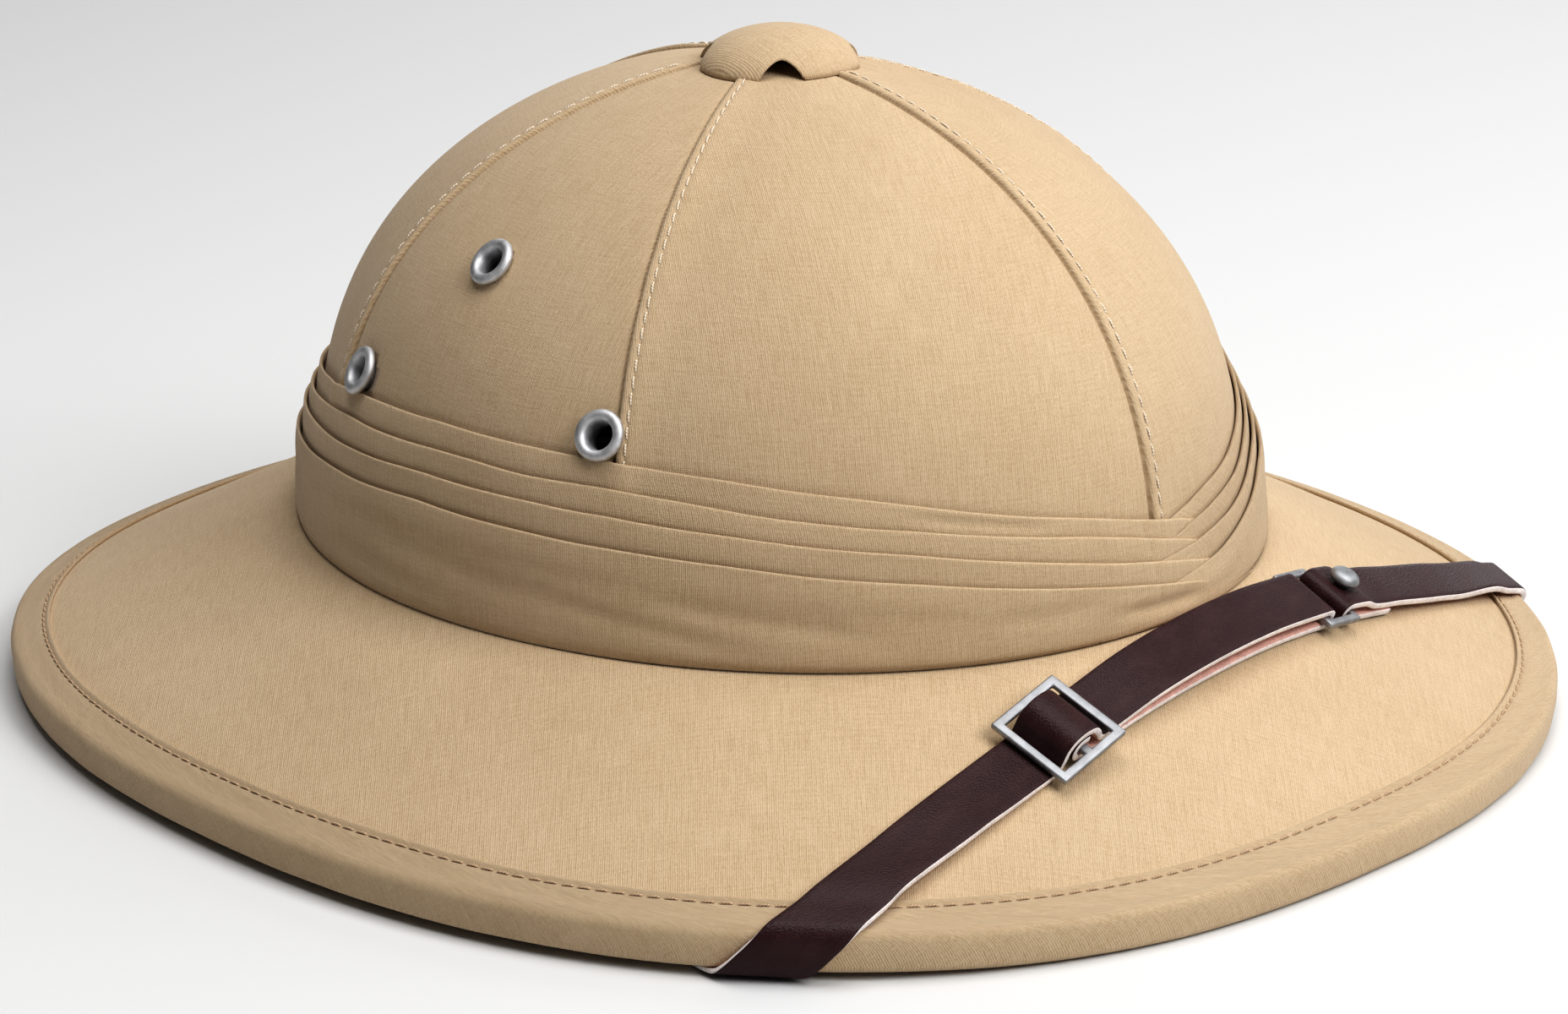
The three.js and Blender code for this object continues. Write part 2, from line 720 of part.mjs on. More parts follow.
// The end of a strap from the lane, slanting straight round the rim, and under the brim to its anchor.
function endStations(lastStation, outward, { crossing, x, y }) {
  const anchor = new THREE.Vector3(x, y, 0);
  const under = polar(crossing, rimRadius(crossing), 0).sub(anchor).normalize();
  const end = anchor.clone().addScaledVector(under, -ANCHOR.endLength);
  const sideways = new THREE.Vector3(-under.y, under.x, 0).multiplyScalar((-Math.sign(x) * STRAP.width) / 2);
  const edges = [
    { top: lastStation.near, below: end.clone().add(sideways) },
    { top: lastStation.far, below: end.clone().sub(sideways) },
  ];
  const turns = edges.map(({ top, below }) => ({
    from: angleAtInset(top, outward, RIM_WRAP[0].inset),
    to: angleAtInset(below, under, RIM_WRAP.at(-1).inset),
  }));
  const rows = RIM_WRAP.map(({ inset, height, leather }, i) => {
    const share = wrapLengths[i] / wrapLengths.at(-1);
    const [near, far] = turns.map(({ from, to }) => rimPoint(mix(from, to, share), inset, height));
    return { near, far, leather };
  });
  const starts = edges.map(({ below }) => {
    const angle = angleAtInset(below, under, UNDER_RUN.startInset);
    return polar(angle, rimRadius(angle) - UNDER_RUN.startInset, 0);
  });
  const run = Array.from({ length: UNDER_RUN.steps + 1 }, (_, i) => {
    const [near, far] = edges.map(({ below }, k) =>
      raised(starts[k].clone().lerp(below, i / UNDER_RUN.steps), underHeight),
    );
    return { near, far, leather: STRAP.leather };
  });
  return [...rows, ...run];
}

const nearBar = RING.along - RING_BAR;
const farBar = RING.along + RING_BAR;
const longStart = laneStation(END_SKEW.most, STRAP.lying);
const longEnd = endStations(longStart, lane.getTangentAt(0).negate(), LONG_END);
const longStations = [
  ...longEnd.reverse(),
  ...lyingStations(END_SKEW.most, BUCKLE.along + BUCKLE_HUMP[0].along).slice(0, -1),
  ...laneStations(BUCKLE_HUMP, BUCKLE.along),
  ...laneStations(RING_FOLD, nearBar),
  ...laneStations(BUCKLE_LOOP, BUCKLE.along),
];
addPiece("strap_long", stripGeometry(longStations), LEATHER);

const shortFoldEnd = farBar + SHORT_FOLD[SHORT_FOLD.length - 1].along;
const shortLast = laneLength - END_SKEW.most;
const shortEnd = laneStation(shortLast, STRAP.lying);
const shortStations = [
  ...laneStations(SHORT_FOLD, farBar),
  ...lyingStations(shortFoldEnd, shortLast).slice(1),
  ...endStations(shortEnd, lane.getTangentAt(1), SHORT_END),
];
addPiece("strap_short", stripGeometry(shortStations), LEATHER);

// Metal fittings of the strap

// Places a piece flat on the lane, its x along the strap, y across it and z away from the brim.
function placeOnLane(piece, along, height) {
  const { point, ahead, across, up } = laneFrame(along);
  piece.quaternion.setFromRotationMatrix(new THREE.Matrix4().makeBasis(ahead, across, up));
  piece.position.copy(point).addScaledVector(up, height);
}

// A flat frame with one window, or two on either side of a middle bar, centred on its own middle.
function frameGeometry({ length, width, bar, thickness, middleBar }) {
  const opening = length - 2 * bar;
  const window = middleBar ? (opening - middleBar) / 2 : opening;
  const middles = middleBar ? [-(window + middleBar) / 2, (window + middleBar) / 2] : [0];
  const plate = solidOf(new THREE.BoxGeometry(length, width, thickness));
  const cutter = new THREE.BoxGeometry(window, width - 2 * bar, 2 * thickness);
  const cuts = middles.map((middle) => solidOf(cutter, new THREE.Matrix4().makeTranslation(middle, 0, 0)));
  return geometryOf(cuts.reduce((frame, cut) => frame.subtract(cut), plate));
}

const buckle = addPiece("slide_buckle", frameGeometry(BUCKLE), SILVER);
placeOnLane(buckle, BUCKLE.along, BUCKLE.height);
buckle.rotateY(-radians(BUCKLE.tilt));

const ring = addPiece("strap_ring", frameGeometry(RING), SILVER);
placeOnLane(ring, RING.along, RING.height);

const studGeometry = new THREE.LatheGeometry(profileOf(STUD_SECTION), STUD.sides).rotateX(Math.PI / 2);
const stud = addPiece("strap_stud", studGeometry, SILVER);
placeOnLane(stud, farBar + STUD.along, STUD.height);

// Plain fasteners that hold the strap's ends under the brim

for (const [side, { x, y }] of Object.entries({ right: LONG_END, left: SHORT_END })) {
  const disc = new THREE.CylinderGeometry(ANCHOR.radius, ANCHOR.radius, ANCHOR.thickness, ANCHOR.sides);
  const { point, up } = surfaceFrame(new THREE.Vector3(x, y, 0), new THREE.Vector3(1, 0, 0), underHeight);
  const seat = STRAP.leather / 2 + FIT_GAP + ANCHOR.thickness / 2;
  const anchor = addPiece(`strap_anchor_${side}`, disc, SILVER);
  anchor.applyMatrix4(standAlong(up, point.addScaledVector(up, -seat)));
}

const hat = new THREE.Group();
hat.add(assembly);

export default hat;
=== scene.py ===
import math

import bpy
import numpy as np
from mathutils import Matrix, Vector


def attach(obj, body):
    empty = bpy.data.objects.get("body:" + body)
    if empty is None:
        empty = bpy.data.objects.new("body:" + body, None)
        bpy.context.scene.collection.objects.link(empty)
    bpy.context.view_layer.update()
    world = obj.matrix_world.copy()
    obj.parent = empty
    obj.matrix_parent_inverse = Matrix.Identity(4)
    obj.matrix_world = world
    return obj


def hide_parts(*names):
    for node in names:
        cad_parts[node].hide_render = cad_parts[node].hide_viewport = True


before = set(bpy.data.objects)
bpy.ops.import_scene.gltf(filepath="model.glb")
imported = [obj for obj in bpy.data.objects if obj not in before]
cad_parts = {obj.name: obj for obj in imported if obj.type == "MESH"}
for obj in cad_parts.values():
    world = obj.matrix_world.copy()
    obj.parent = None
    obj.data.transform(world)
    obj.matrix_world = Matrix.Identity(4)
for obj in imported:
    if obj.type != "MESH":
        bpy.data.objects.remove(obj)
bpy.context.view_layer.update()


# The crown is a stiff pressed dome, covered with six gores of khaki cotton drill.
# Each gore is cut to a long triangle, its edge is folded under and laid over its neighbour's,
# and the fold is topstitched down, so a dark line and a low ridge run up every seam.


class Sizes:
    """Sizes by name, in mm and degrees; a list is a column of a table."""

    def __init__(self, **sizes):
        for name, size in sizes.items():
            setattr(self, name, np.array(size) if isinstance(size, list) else size)


CROWN = Sizes(half_long=110.1, half_wide=95.6, base=34.3, foot=36.9, top=138.5, wall=3)
DOME = Sizes(long_rise=2.65, long_round=1.89, wide_rise=2.76, wide_round=1.69)
HAT_SET_BACK = 2.4
SEAMS = [
    Sizes(angle=-2.5, lap=-1),
    Sizes(angle=61.7, lap=-1),
    Sizes(angle=118, lap=1),
    Sizes(angle=180, lap=1),
    Sizes(angle=240, lap=-1),
    Sizes(angle=300, lap=1),
]
# Height of the cloth beside a seam, by the distance from the folded edge; narrow gores shrink both.
LAPPING_EDGE = Sizes(
    from_edge=[0, 0.06, 0.3, 0.8, 1.5, 2, 2.3, 2.6, 3.1, 4.2, 7, 11],
    height=[-1.3, 0.2, 0.7, 0.85, 0.82, 0.68, 0.5, 0.6, 0.66, 0.5, 0.15, 0],
)
LAPPED_EDGE = Sizes(
    from_edge=[0, 0.3, 0.55, 1, 2.5, 5, 8, 11],
    height=[-1.3, -1.25, -0.15, 0, 0, 0, 0, 0],
)
SEAM_ZONE = Sizes(reach=11, half_gore=12)
SEAM_PUCKER = Sizes(size=0.16, wavelength=4.5, seed=1)
GORE_COLUMNS = 22
GORE_LEVELS = 110
GORES_APART = 300.0
LINING_LEVELS = 18
VENT_RADIUS = 8.0
EYELET_PLACES = [
    Sizes(name="top", angle=92, height=105.2, lift=0.3, lean=0),
    Sizes(name="front", angle=63.7, height=79.2, lift=1.2, lean=9),
    Sizes(name="rear", angle=111.2, height=77.8, lift=1.2, lean=9),
]
EYELET_HOLE = Sizes(radius=3.9, reach=9, sides=24)
KHAKI_DARK = (0.432, 0.314, 0.192, 1)
KHAKI_PALE = (0.585, 0.46, 0.318, 1)
LINING_DARK = (0.40, 0.29, 0.17, 1)
LINING_PALE = (0.52, 0.40, 0.26, 1)
YARN = 0.43


def around(angle, radius, height):
    """Points round the hat's axis in mm; angles go from the front towards the wearer's right."""
    turn = np.radians(angle)
    return np.stack(np.broadcast_arrays(-radius * np.sin(turn), -radius * np.cos(turn), height), -1)


def dome_radius(angle, height, inset=0.0):
    """Distance of the dome from the hat's axis; each height is an ellipse."""
    rise = np.clip((height - CROWN.base) / (CROWN.top - inset - CROWN.base), 0, 1 - 1e-9)
    long = (CROWN.half_long - inset) * (1 - rise ** DOME.long_rise) ** (1 / DOME.long_round)
    wide = (CROWN.half_wide - inset) * (1 - rise ** DOME.wide_rise) ** (1 / DOME.wide_round)
    turn = np.radians(angle)
    return 1 / np.hypot(np.sin(turn) / wide, np.cos(turn) / long)


def on_dome(angle, height, inset=0.0):
    return around(angle, dome_radius(angle, height, inset), height)


def unit(vectors):
    return vectors / np.maximum(np.linalg.norm(vectors, axis=-1, keepdims=True), 1e-12)


def dome_normal(angle, height):
    round_it = on_dome(angle + 0.2, height) - on_dome(angle - 0.2, height)
    step = 0.02 * (CROWN.top - height)
    upward = on_dome(angle, height + step) - on_dome(angle, height - step)
    return unit(np.cross(upward, round_it))


def dome_levels(count, inset, from_height, to_radius):
    """Heights that part a meridian of the dome into equal lengths, up to a radius near its top."""
    top = CROWN.top - inset
    fine = from_height + (top - from_height) * np.sin(np.linspace(0, np.pi / 2, 4000))
    radius = dome_radius(45.0, fine, inset)
    fine, radius = fine[radius > to_radius], radius[radius > to_radius]
    length = np.concatenate([[0], np.cumsum(np.hypot(np.diff(fine), np.diff(radius)))])
    return np.interp(np.linspace(0, length[-1], count), length, fine)


def wavering(count, waver, number=0):
    """A smooth random line through count places, with its wavelength in places."""
    knots = max(4, int(round(count / waver.wavelength)))
    values = np.random.default_rng(waver.seed + number).uniform(-1, 1, knots)
    at = np.arange(count) / count * knots
    low = np.floor(at).astype(int)
    ease = 0.5 - 0.5 * np.cos(np.pi * (at - low))
    return waver.size * (values[low % knots] * (1 - ease) + values[(low + 1) % knots] * ease)


def lengths_along(points, axis):
    steps = np.linalg.norm(np.diff(points, axis=axis), axis=-1)
    start = np.zeros_like(np.take(steps, [0], axis=axis))
    return np.concatenate([start, np.cumsum(steps, axis=axis)], axis=axis)


scene = bpy.context.scene


def piece_of(name, vertices, faces, uvs=None, finishes=(), finish_of_face=None):
    """A piece from points in mm, faces, a uv in mm for each face corner, and its materials."""
    mesh = bpy.data.meshes.new(name)
    mesh.from_pydata(((np.asarray(vertices) - (0, HAT_SET_BACK, 0)) * 0.001).tolist(), [], faces)
    mesh.polygons.foreach_set("use_smooth", [True] * len(mesh.polygons))
    if uvs is not None:
        mesh.uv_layers.new(name="cut").data.foreach_set("uv", np.asarray(uvs, np.float32).ravel())
    for finish in finishes:
        mesh.materials.append(finish)
    if finish_of_face is not None:
        mesh.polygons.foreach_set("material_index", finish_of_face)
    mesh.update()
    piece = bpy.data.objects.new(name, mesh)
    scene.collection.objects.link(piece)
    return piece


def seat(piece, solid=None):
    """Fixes a piece to the hat, which is one body and in place of a solid."""
    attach(piece, "root")
    if solid:
        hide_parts(solid)


def apply_modifiers(piece):
    ready = piece.evaluated_get(bpy.context.evaluated_depsgraph_get())
    made = bpy.data.meshes.new_from_object(ready)
    piece.modifiers.clear()
    piece.data = made


def sections_mesh(sections, ring=True, weave=None):
    """Vertices, faces and uvs of closed sections in a row; a ring joins the last to the first."""
    count, size = sections.shape[:2]
    if weave is None:
        closed = np.concatenate([sections, sections[:1]]) if ring else sections
        closed = np.concatenate([closed, closed[:, :1]], axis=1)
        weave = np.stack([lengths_along(closed, 0), lengths_along(closed, 1)], -1)
    i, j = np.meshgrid(np.arange(count if ring else count - 1), np.arange(size), indexing="ij")
    i, j = i.ravel(), j.ravel()
    here, after, next_j = i * size, (i + 1) % count * size, (j + 1) % size
    faces = np.stack([here + j, here + next_j, after + next_j, after + j], -1).tolist()
    uvs = np.stack([weave[i, j], weave[i, j + 1], weave[i + 1, j + 1], weave[i + 1, j]], 1)
    uvs = uvs.reshape(-1, 2)
    if not ring:
        faces += [list(range(size))[::-1], [(count - 1) * size + k for k in range(size)]]
        uvs = np.concatenate([uvs, weave[0, :size][::-1], weave[-1, :size]])
    return sections.reshape(-1, 3), faces, uvs


def joined(meshes):
    """One list of vertices, faces and uvs from several."""
    vertices, faces, uvs, first = [], [], [], 0
    for loop, corners, cut in meshes:
        vertices.append(loop)
        faces += [[first + corner for corner in face] for face in corners]
        uvs.append(cut)
        first += len(loop)
    return np.concatenate(vertices), faces, np.concatenate(uvs)


class Shade:
    """A value, colour or vector in a material; sums and products of values add Math nodes."""

    def __init__(self, socket):
        self.socket = socket

    def node(self, kind, settings=None, sockets=None, output=0):
        tree = self.socket.id_data
        made = tree.nodes.new("ShaderNode" + kind)
        for name, setting in (settings or {}).items():
            setattr(made, name, setting)
        for name, given in (sockets or {}).items():
            if isinstance(given, Shade):
                tree.links.new(given.socket, made.inputs[name])
            else:
                made.inputs[name].default_value = given
        return Shade(made.outputs[output]) if made.outputs else None

    def math(self, operation, *values):
        return self.node("Math", {"operation": operation}, dict(enumerate(values)))

    def __add__(self, other):
        return self.math("ADD", self, other)

    def __sub__(self, other):
        return self.math("SUBTRACT", self, other)

    def __rsub__(self, other):
        return self.math("SUBTRACT", other, self)

    def __mul__(self, other):
        return self.math("MULTIPLY", self, other)

    def __pow__(self, other):
        return self.math("POWER", self, other)

    __radd__, __rmul__ = __add__, __mul__

    def wave(self):
        return self.math("SINE", self)

    def between(self, low, high):
        """0 below low, 1 above high, and smooth between them."""
        ranged = {"Value": self, "From Min": low, "From Max": high}
        return self.node("MapRange", {"interpolation_type": "SMOOTHSTEP"}, ranged)

    def mixed(self, first, second):
        """From the first colour at 0 to the second at 1."""
        return self.node("Mix", {"data_type": "RGBA"}, {0: self, 6: first, 7: second}, output=2)

    def noise(self, across, along, detail=2.0):
        """Random patches on the cut, so many to a millimetre across and along it."""
        cut = self.node("VectorMath", {"operation": "MULTIPLY"}, {0: self, 1: (across, along, 1)})
        sockets = {"Vector": cut, "Scale": 1.0, "Detail": detail}
        return cut.node("TexNoise", {"noise_dimensions": "2D"}, sockets)

    def parts(self):
        return [self.node("SeparateXYZ", sockets={0: self}, output=k) for k in range(3)]

    def bumped(self, height, distance):
        return self.node("Bump", sockets={"Strength": 1.0, "Distance": distance, "Height": height})

    def show(self, **sockets):
        """The material's surface; a socket's name is written with an underscore for each space."""
        named = {name.replace("_", " "): given for name, given in sockets.items()}
        self.node("OutputMaterial", sockets={"Surface": self.node("BsdfPrincipled", sockets=named)})


def new_finish(name):
    """An empty material and the place on the cut piece, in mm, at which it is looked up."""
    material = bpy.data.materials.new(name)
    material.use_nodes = True
    material.node_tree.nodes.clear()
    return material, Shade(material.node_tree.nodes.new("ShaderNodeUVMap").outputs["UV"])


def drill_cloth(name, bias=0.0):
    """Khaki cotton in plain weave, with uneven yarns both ways; bias turns the weave on the cut."""
    material, cut = new_finish(name)
    sockets = {"Vector": cut, "Angle": math.radians(bias)}
    turned = cut.node("VectorRotate", {"rotation_type": "Z_AXIS"}, sockets)
    u, v, _ = turned.parts()
    drift = turned.noise(0.12, 0.12) * 0.5
    warp = ((u + drift) * (math.pi / YARN)).wave() ** 2
    weft = ((v - drift) * (math.pi / YARN)).wave() ** 2
    weave = warp * 0.65 + warp * weft * 0.35
    slub = turned.noise(2.2, 0.14) * 0.6 + turned.noise(0.14, 2.2) * 0.4
    fleck = turned.noise(2.6, 1.6, 1.0)
    mottle = turned.noise(0.03, 0.03, 3.0)
    tone = weave * 0.2 + slub * 0.6 + fleck * 0.4 + mottle * 0.15
    colour = tone.between(0.3, 0.96).mixed(KHAKI_DARK, KHAKI_PALE)
    cut.show(
        Base_Color=colour,
        Roughness=0.95 - slub * 0.12,
        Normal=cut.bumped(weave * 0.5 + slub * 0.7 + fleck * 0.4, 0.0001),
        Specular_IOR_Level=0.2,
        Sheen_Weight=0.14,
        Sheen_Roughness=0.5,
    )
    return material


def lining_cloth():
    """Plain unbleached cotton that covers the inside of the crown."""
    material, cut = new_finish("lining_cotton")
    u, v, _ = cut.parts()
    weave = ((u * 6.5).wave() * (v * 6.5).wave()) ** 2
    patch = cut.noise(0.06, 0.06, 3.0)
    colour = (patch + weave * 0.2).between(0.3, 0.9).mixed(LINING_DARK, LINING_PALE)
    bump = cut.bumped(weave, 0.00008)
    cut.show(Base_Color=colour, Roughness=0.95, Normal=bump, Specular_IOR_Level=0.2)
    return material


def turned_to(facing, points):
    """Points that stood upright, turned to face another way."""
    turn = Vector((0, 0, 1)).rotation_difference(Vector(facing)).to_matrix()
    return points @ np.array(turn).T


def eyelet_axis(place, side):
    """Where an eyelet sits and which way it faces, in mm; side is 1 on the wearer's right."""
    angle = side * place.angle
    facing = dome_normal(angle, place.height)
    level = unit(np.array([-facing[1], facing[0], 0.0]))
    lean = Matrix.Rotation(-math.radians(place.lean), 3, Vector(level))
    facing = np.array(lean @ Vector(facing))
    return on_dome(angle, place.height) + facing * place.lift, facing


crown_levels = dome_levels(GORE_LEVELS, 0.0, CROWN.foot, VENT_RADIUS)
crown_columns = []
for number, seam in enumerate(SEAMS):
    after = SEAMS[(number + 1) % len(SEAMS)]
    span = (after.angle - seam.angle) % 360
    width = dome_radius(seam.angle + span / 2, crown_levels) * math.radians(span)
    fit = np.minimum(1, width / 2 / SEAM_ZONE.half_gore)
    zone = SEAM_ZONE.reach * fit / width
    inner = np.linspace(0, 1, GORE_COLUMNS + 2)[1:-1]
    gore = [(zone + (1 - 2 * zone) * share, 0 * fit) for share in inner]
    for laps, direction in ((seam.lap > 0, 1), (after.lap < 0, -1)):
        edge = LAPPING_EDGE if laps else LAPPED_EDGE
        pucker = 1 + wavering(GORE_LEVELS, SEAM_PUCKER, 10 * number + direction)
        reliefs = [height * fit * (pucker if height > 0 else 1) for height in edge.height]
        shares = [from_edge * fit / width for from_edge in edge.from_edge]
        if direction > 0:
            gore = [*zip(shares, reliefs), *gore]
        else:
            gore += [(1 - share, relief) for share, relief in zip(shares[::-1], reliefs[::-1])]
    for share, relief in gore:
        angle = seam.angle + span * share
        outward = dome_normal(angle, crown_levels) * relief[:, None]
        crossgrain = (share - 0.5) * width + GORES_APART * number
        crown_columns.append((angle, on_dome(angle, crown_levels) + outward, crossgrain))

lining_levels = dome_levels(LINING_LEVELS, CROWN.wall, CROWN.foot, VENT_RADIUS)[::-1]
linings = [on_dome(angle[0], lining_levels, CROWN.wall) for angle, _, _ in crown_columns]
crown_sections = np.concatenate([[cover for _, cover, _ in crown_columns], linings], axis=1)
section_lengths = lengths_along(np.concatenate([crown_sections, crown_sections[:, :1]], 1), 1)
section_size = crown_sections.shape[1]
crossgrain = np.array(
    [np.interp(np.arange(section_size + 1), np.arange(GORE_LEVELS), u) for _, _, u in crown_columns]
)
crown_weave = np.stack([crossgrain, section_lengths], -1)
crown_weave = np.concatenate([crown_weave, crown_weave[:1]])
vertices, faces, uvs = sections_mesh(crown_sections, weave=crown_weave)
inside = [int(face % section_size >= GORE_LEVELS - 1) for face in range(len(faces))]
finishes = [drill_cloth("crown_drill"), lining_cloth()]
crown = piece_of("crown_gores", vertices, faces, uvs, finishes, inside)

eyelets = [
    (f"eyelet_{side}_{place.name}", *eyelet_axis(place, sign))
    for side, sign in (("right", 1), ("left", -1))
    for place in EYELET_PLACES
]
punch_rim = around(np.arange(EYELET_HOLE.sides) * 360 / EYELET_HOLE.sides, EYELET_HOLE.radius, 0.0)
punches = []
for name, middle, facing in eyelets:
    rim, reach = turned_to(facing, punch_rim) + middle, EYELET_HOLE.reach * facing
    punches.append(sections_mesh(np.array([rim + reach, rim - reach]), ring=False))
punch = piece_of("eyelet_punch", *joined(punches)[:2])
cut = crown.modifiers.new("punched", "BOOLEAN")
cut.object, cut.operation, cut.solver = punch, "DIFFERENCE", "EXACT"
apply_modifiers(crown)
bpy.data.objects.remove(punch)
seat(crown, "crown")


# One row of pale cotton runs up every gore seam, just inside the fold that it holds down.
# The machine's stitches lie on the cloth one behind the other and dip into it at each needle hole.

SEAM_STITCH = Sizes(from_edge=2.3, lift=0.55, pitch=3.4, length=2.95, thread=0.44)
SEAM_ROW = Sizes(from_height=50, to_radius=17)
STITCH_SHAPE = Sizes(
    along=[0, 0.12, 0.32, 0.68, 0.88, 1],
    rise=[-0.75, 0.1, 0.42, 0.42, 0.1, -0.75],
    girth=[0.6, 0.95, 1, 1, 0.95, 0.6],
)
STITCH_CHANCE = Sizes(length=(0.94, 1.04), slant=(0.12, 0.3))
SEAM_THREAD = (0.80, 0.69, 0.56, 1)


def shaded(colour, share):
    return (*(share * part for part in colour[:3]), 1)


def cotton_thread(name, colour):
    """Twisted sewing cotton: fine slanting plies along the thread."""
    material, cut = new_finish(name)
    u, v, _ = cut.parts()
    plies = ((u * 9.0 + v * 5.0).wave() + 1) * 0.5
    patch = cut.noise(0.8, 0.8)
    tone = (plies * 0.6 + patch * 0.6).between(0.1, 0.9).mixed(shaded(colour, 0.62), colour)
    bump = cut.bumped(plies, 0.00006)
    cut.show(Base_Color=tone, Roughness=0.75, Normal=bump, Specular_IOR_Level=0.3)
    return material


def line_at(at, lengths, line):
    return np.stack([np.interp(at, lengths, column) for column in line.T], -1)


def stitch_row(line, facing, sizes, seed):
    """Separate stitches along a line in mm on cloth that faces a given way."""
    chance = np.random.default_rng(seed)
    length = lengths_along(line, 0)
    along = STITCH_SHAPE.along
    rise = STITCH_SHAPE.rise * sizes.thread
    girth = STITCH_SHAPE.girth * sizes.thread / 2
    plies = np.radians(np.arange(0, 360, 60))
    stitches = []
    for start in np.arange(0.5 * sizes.pitch, length[-1] - sizes.pitch, sizes.pitch):
        at = start + along * sizes.length * chance.uniform(*STITCH_CHANCE.length)
        middle = line_at(at, length, line)
        up = unit(line_at(at, length, facing))
        ahead = unit(np.gradient(middle, axis=0))
        side = np.cross(up, ahead)
        slant = (along - 0.5) * chance.uniform(*STITCH_CHANCE.slant)
        middle = middle + up * rise[:, None] + side * slant[:, None]
        spokes = side[:, None] * np.cos(plies)[:, None] + up[:, None] * np.sin(plies)[:, None]
        sections = middle[:, None] + spokes * girth[:, None, None]
        stitches.append(sections_mesh(sections, ring=False))
    return joined(stitches)


def stitch_rows(name, rows, sizes, finish):
    """One piece from several rows, each a line and the way its cloth faces."""
    sewn = [stitch_row(*row, sizes, number) for number, row in enumerate(rows)]
    return piece_of(name, *joined(sewn), [finish])


seam_rows = []
for number, seam in enumerate(SEAMS):
    other = SEAMS[(number + seam.lap) % len(SEAMS)]
    span = (other.angle - seam.angle) * seam.lap % 360
    outside_cap = dome_radius(seam.angle, crown_levels) > SEAM_ROW.to_radius
    levels = crown_levels[(crown_levels > SEAM_ROW.from_height) & outside_cap]
    radius = dome_radius(seam.angle + seam.lap * span / 2, levels)
    angle = seam.angle + seam.lap * np.degrees(SEAM_STITCH.from_edge / radius)
    facing = dome_normal(angle, levels)
    seam_rows.append((on_dome(angle, levels) + facing * SEAM_STITCH.lift, facing))
pale_cotton = cotton_thread("pale_cotton", SEAM_THREAD)
seam_stitches = stitch_rows("seam_stitches", seam_rows, SEAM_STITCH, pale_cotton)
seat(seam_stitches)


# The brim is a stiff plate, covered with the same drill above and below, that falls straight
# from the foot of the crown to a thick bead along its edge.

BRIM = Sizes(long=175, wide=156.4, squareness=2.3, foot=36.6, from_crown=5.8)
BRIM_PLATE = Sizes(thickness=4, edge_inset=13)
BRIM_WAVER = Sizes(size=0.16, wavelength=22, seed=70, rings=8)
SIDE_LIFT = Sizes(height=1.7, starts=15, full=50)
BEAD = Sizes(inset=[9.5, 2.2, 1.3, 1.3, 1.9, 3.5], height=[1.3, 1.3, 2.3, 5.4, 6.8, 7.7])
BRIM_STEPS = 360
BRIM_RINGS = 30


def smoothstep(value, low, high):
    share = np.clip((value - low) / (high - low), 0, 1)
    return share * share * (3 - 2 * share)


def rim_radius(angle):
    side, front = np.abs(np.sin(np.radians(angle))), np.abs(np.cos(np.radians(angle)))
    power = BRIM.squareness
    outline = ((side / BRIM.wide) ** power + (front / BRIM.long) ** power) ** (-1 / power)
    return outline - HAT_SET_BACK * np.cos(np.radians(angle))


def rim_lift(angle):
    low, high = np.sin(np.radians([SIDE_LIFT.starts, SIDE_LIFT.full]))
    return SIDE_LIFT.height * smoothstep(np.abs(np.sin(np.radians(angle))), low, high)


def brim_top(angle, radius):
    foot = dome_radius(angle, CROWN.foot) + BRIM.from_crown
    edge = rim_radius(angle) - BEAD.inset[-1]
    out = np.clip((radius - foot) / (edge - foot), 0, 1)
    return BRIM.foot + (rim_lift(angle) + BEAD.height[-1] - BRIM.foot) * out


def on_brim(angle, radius, over=0.0):
    return around(angle, radius, brim_top(angle, radius) + over)


def on_rim(angle, inset, height):
    return around(angle, rim_radius(angle) - inset, rim_lift(angle) + height)


def cut_in_plan(vertices, faces):
    """Vertices, faces and uvs of a piece cut from one flat cloth, as it is seen from above."""
    return vertices, faces, vertices[np.ravel(faces)][:, :2]


brim_angles = np.arange(BRIM_STEPS) * 360 / BRIM_STEPS
brim_sections = []
easing = np.sin(np.linspace(0, np.pi, BRIM_RINGS))
brim_waver = np.array(
    [wavering(BRIM_STEPS, BRIM_WAVER, ring // BRIM_WAVER.rings) for ring in range(BRIM_RINGS)]
)
for number, angle in enumerate(brim_angles):
    inner = dome_radius(angle, CROWN.foot, CROWN.wall)
    rim = rim_radius(angle)
    under = np.linspace(inner, rim - BRIM_PLATE.edge_inset, BRIM_RINGS)
    over = np.linspace(rim - BEAD.inset[-1], inner, BRIM_RINGS)[1:]
    lower = on_brim(angle, under, -BRIM_PLATE.thickness)
    bead = on_rim(angle, BEAD.inset, BEAD.height)
    upper = on_brim(angle, over, (easing * brim_waver[:, number])[1:])
    brim_sections.append(np.concatenate([lower, bead, upper]))
brim_mesh = cut_in_plan(*sections_mesh(np.array(brim_sections))[:2])
brim = piece_of("brim_cloth", *brim_mesh, [drill_cloth("brim_drill", bias=42.0)])
seat(brim, "brim")
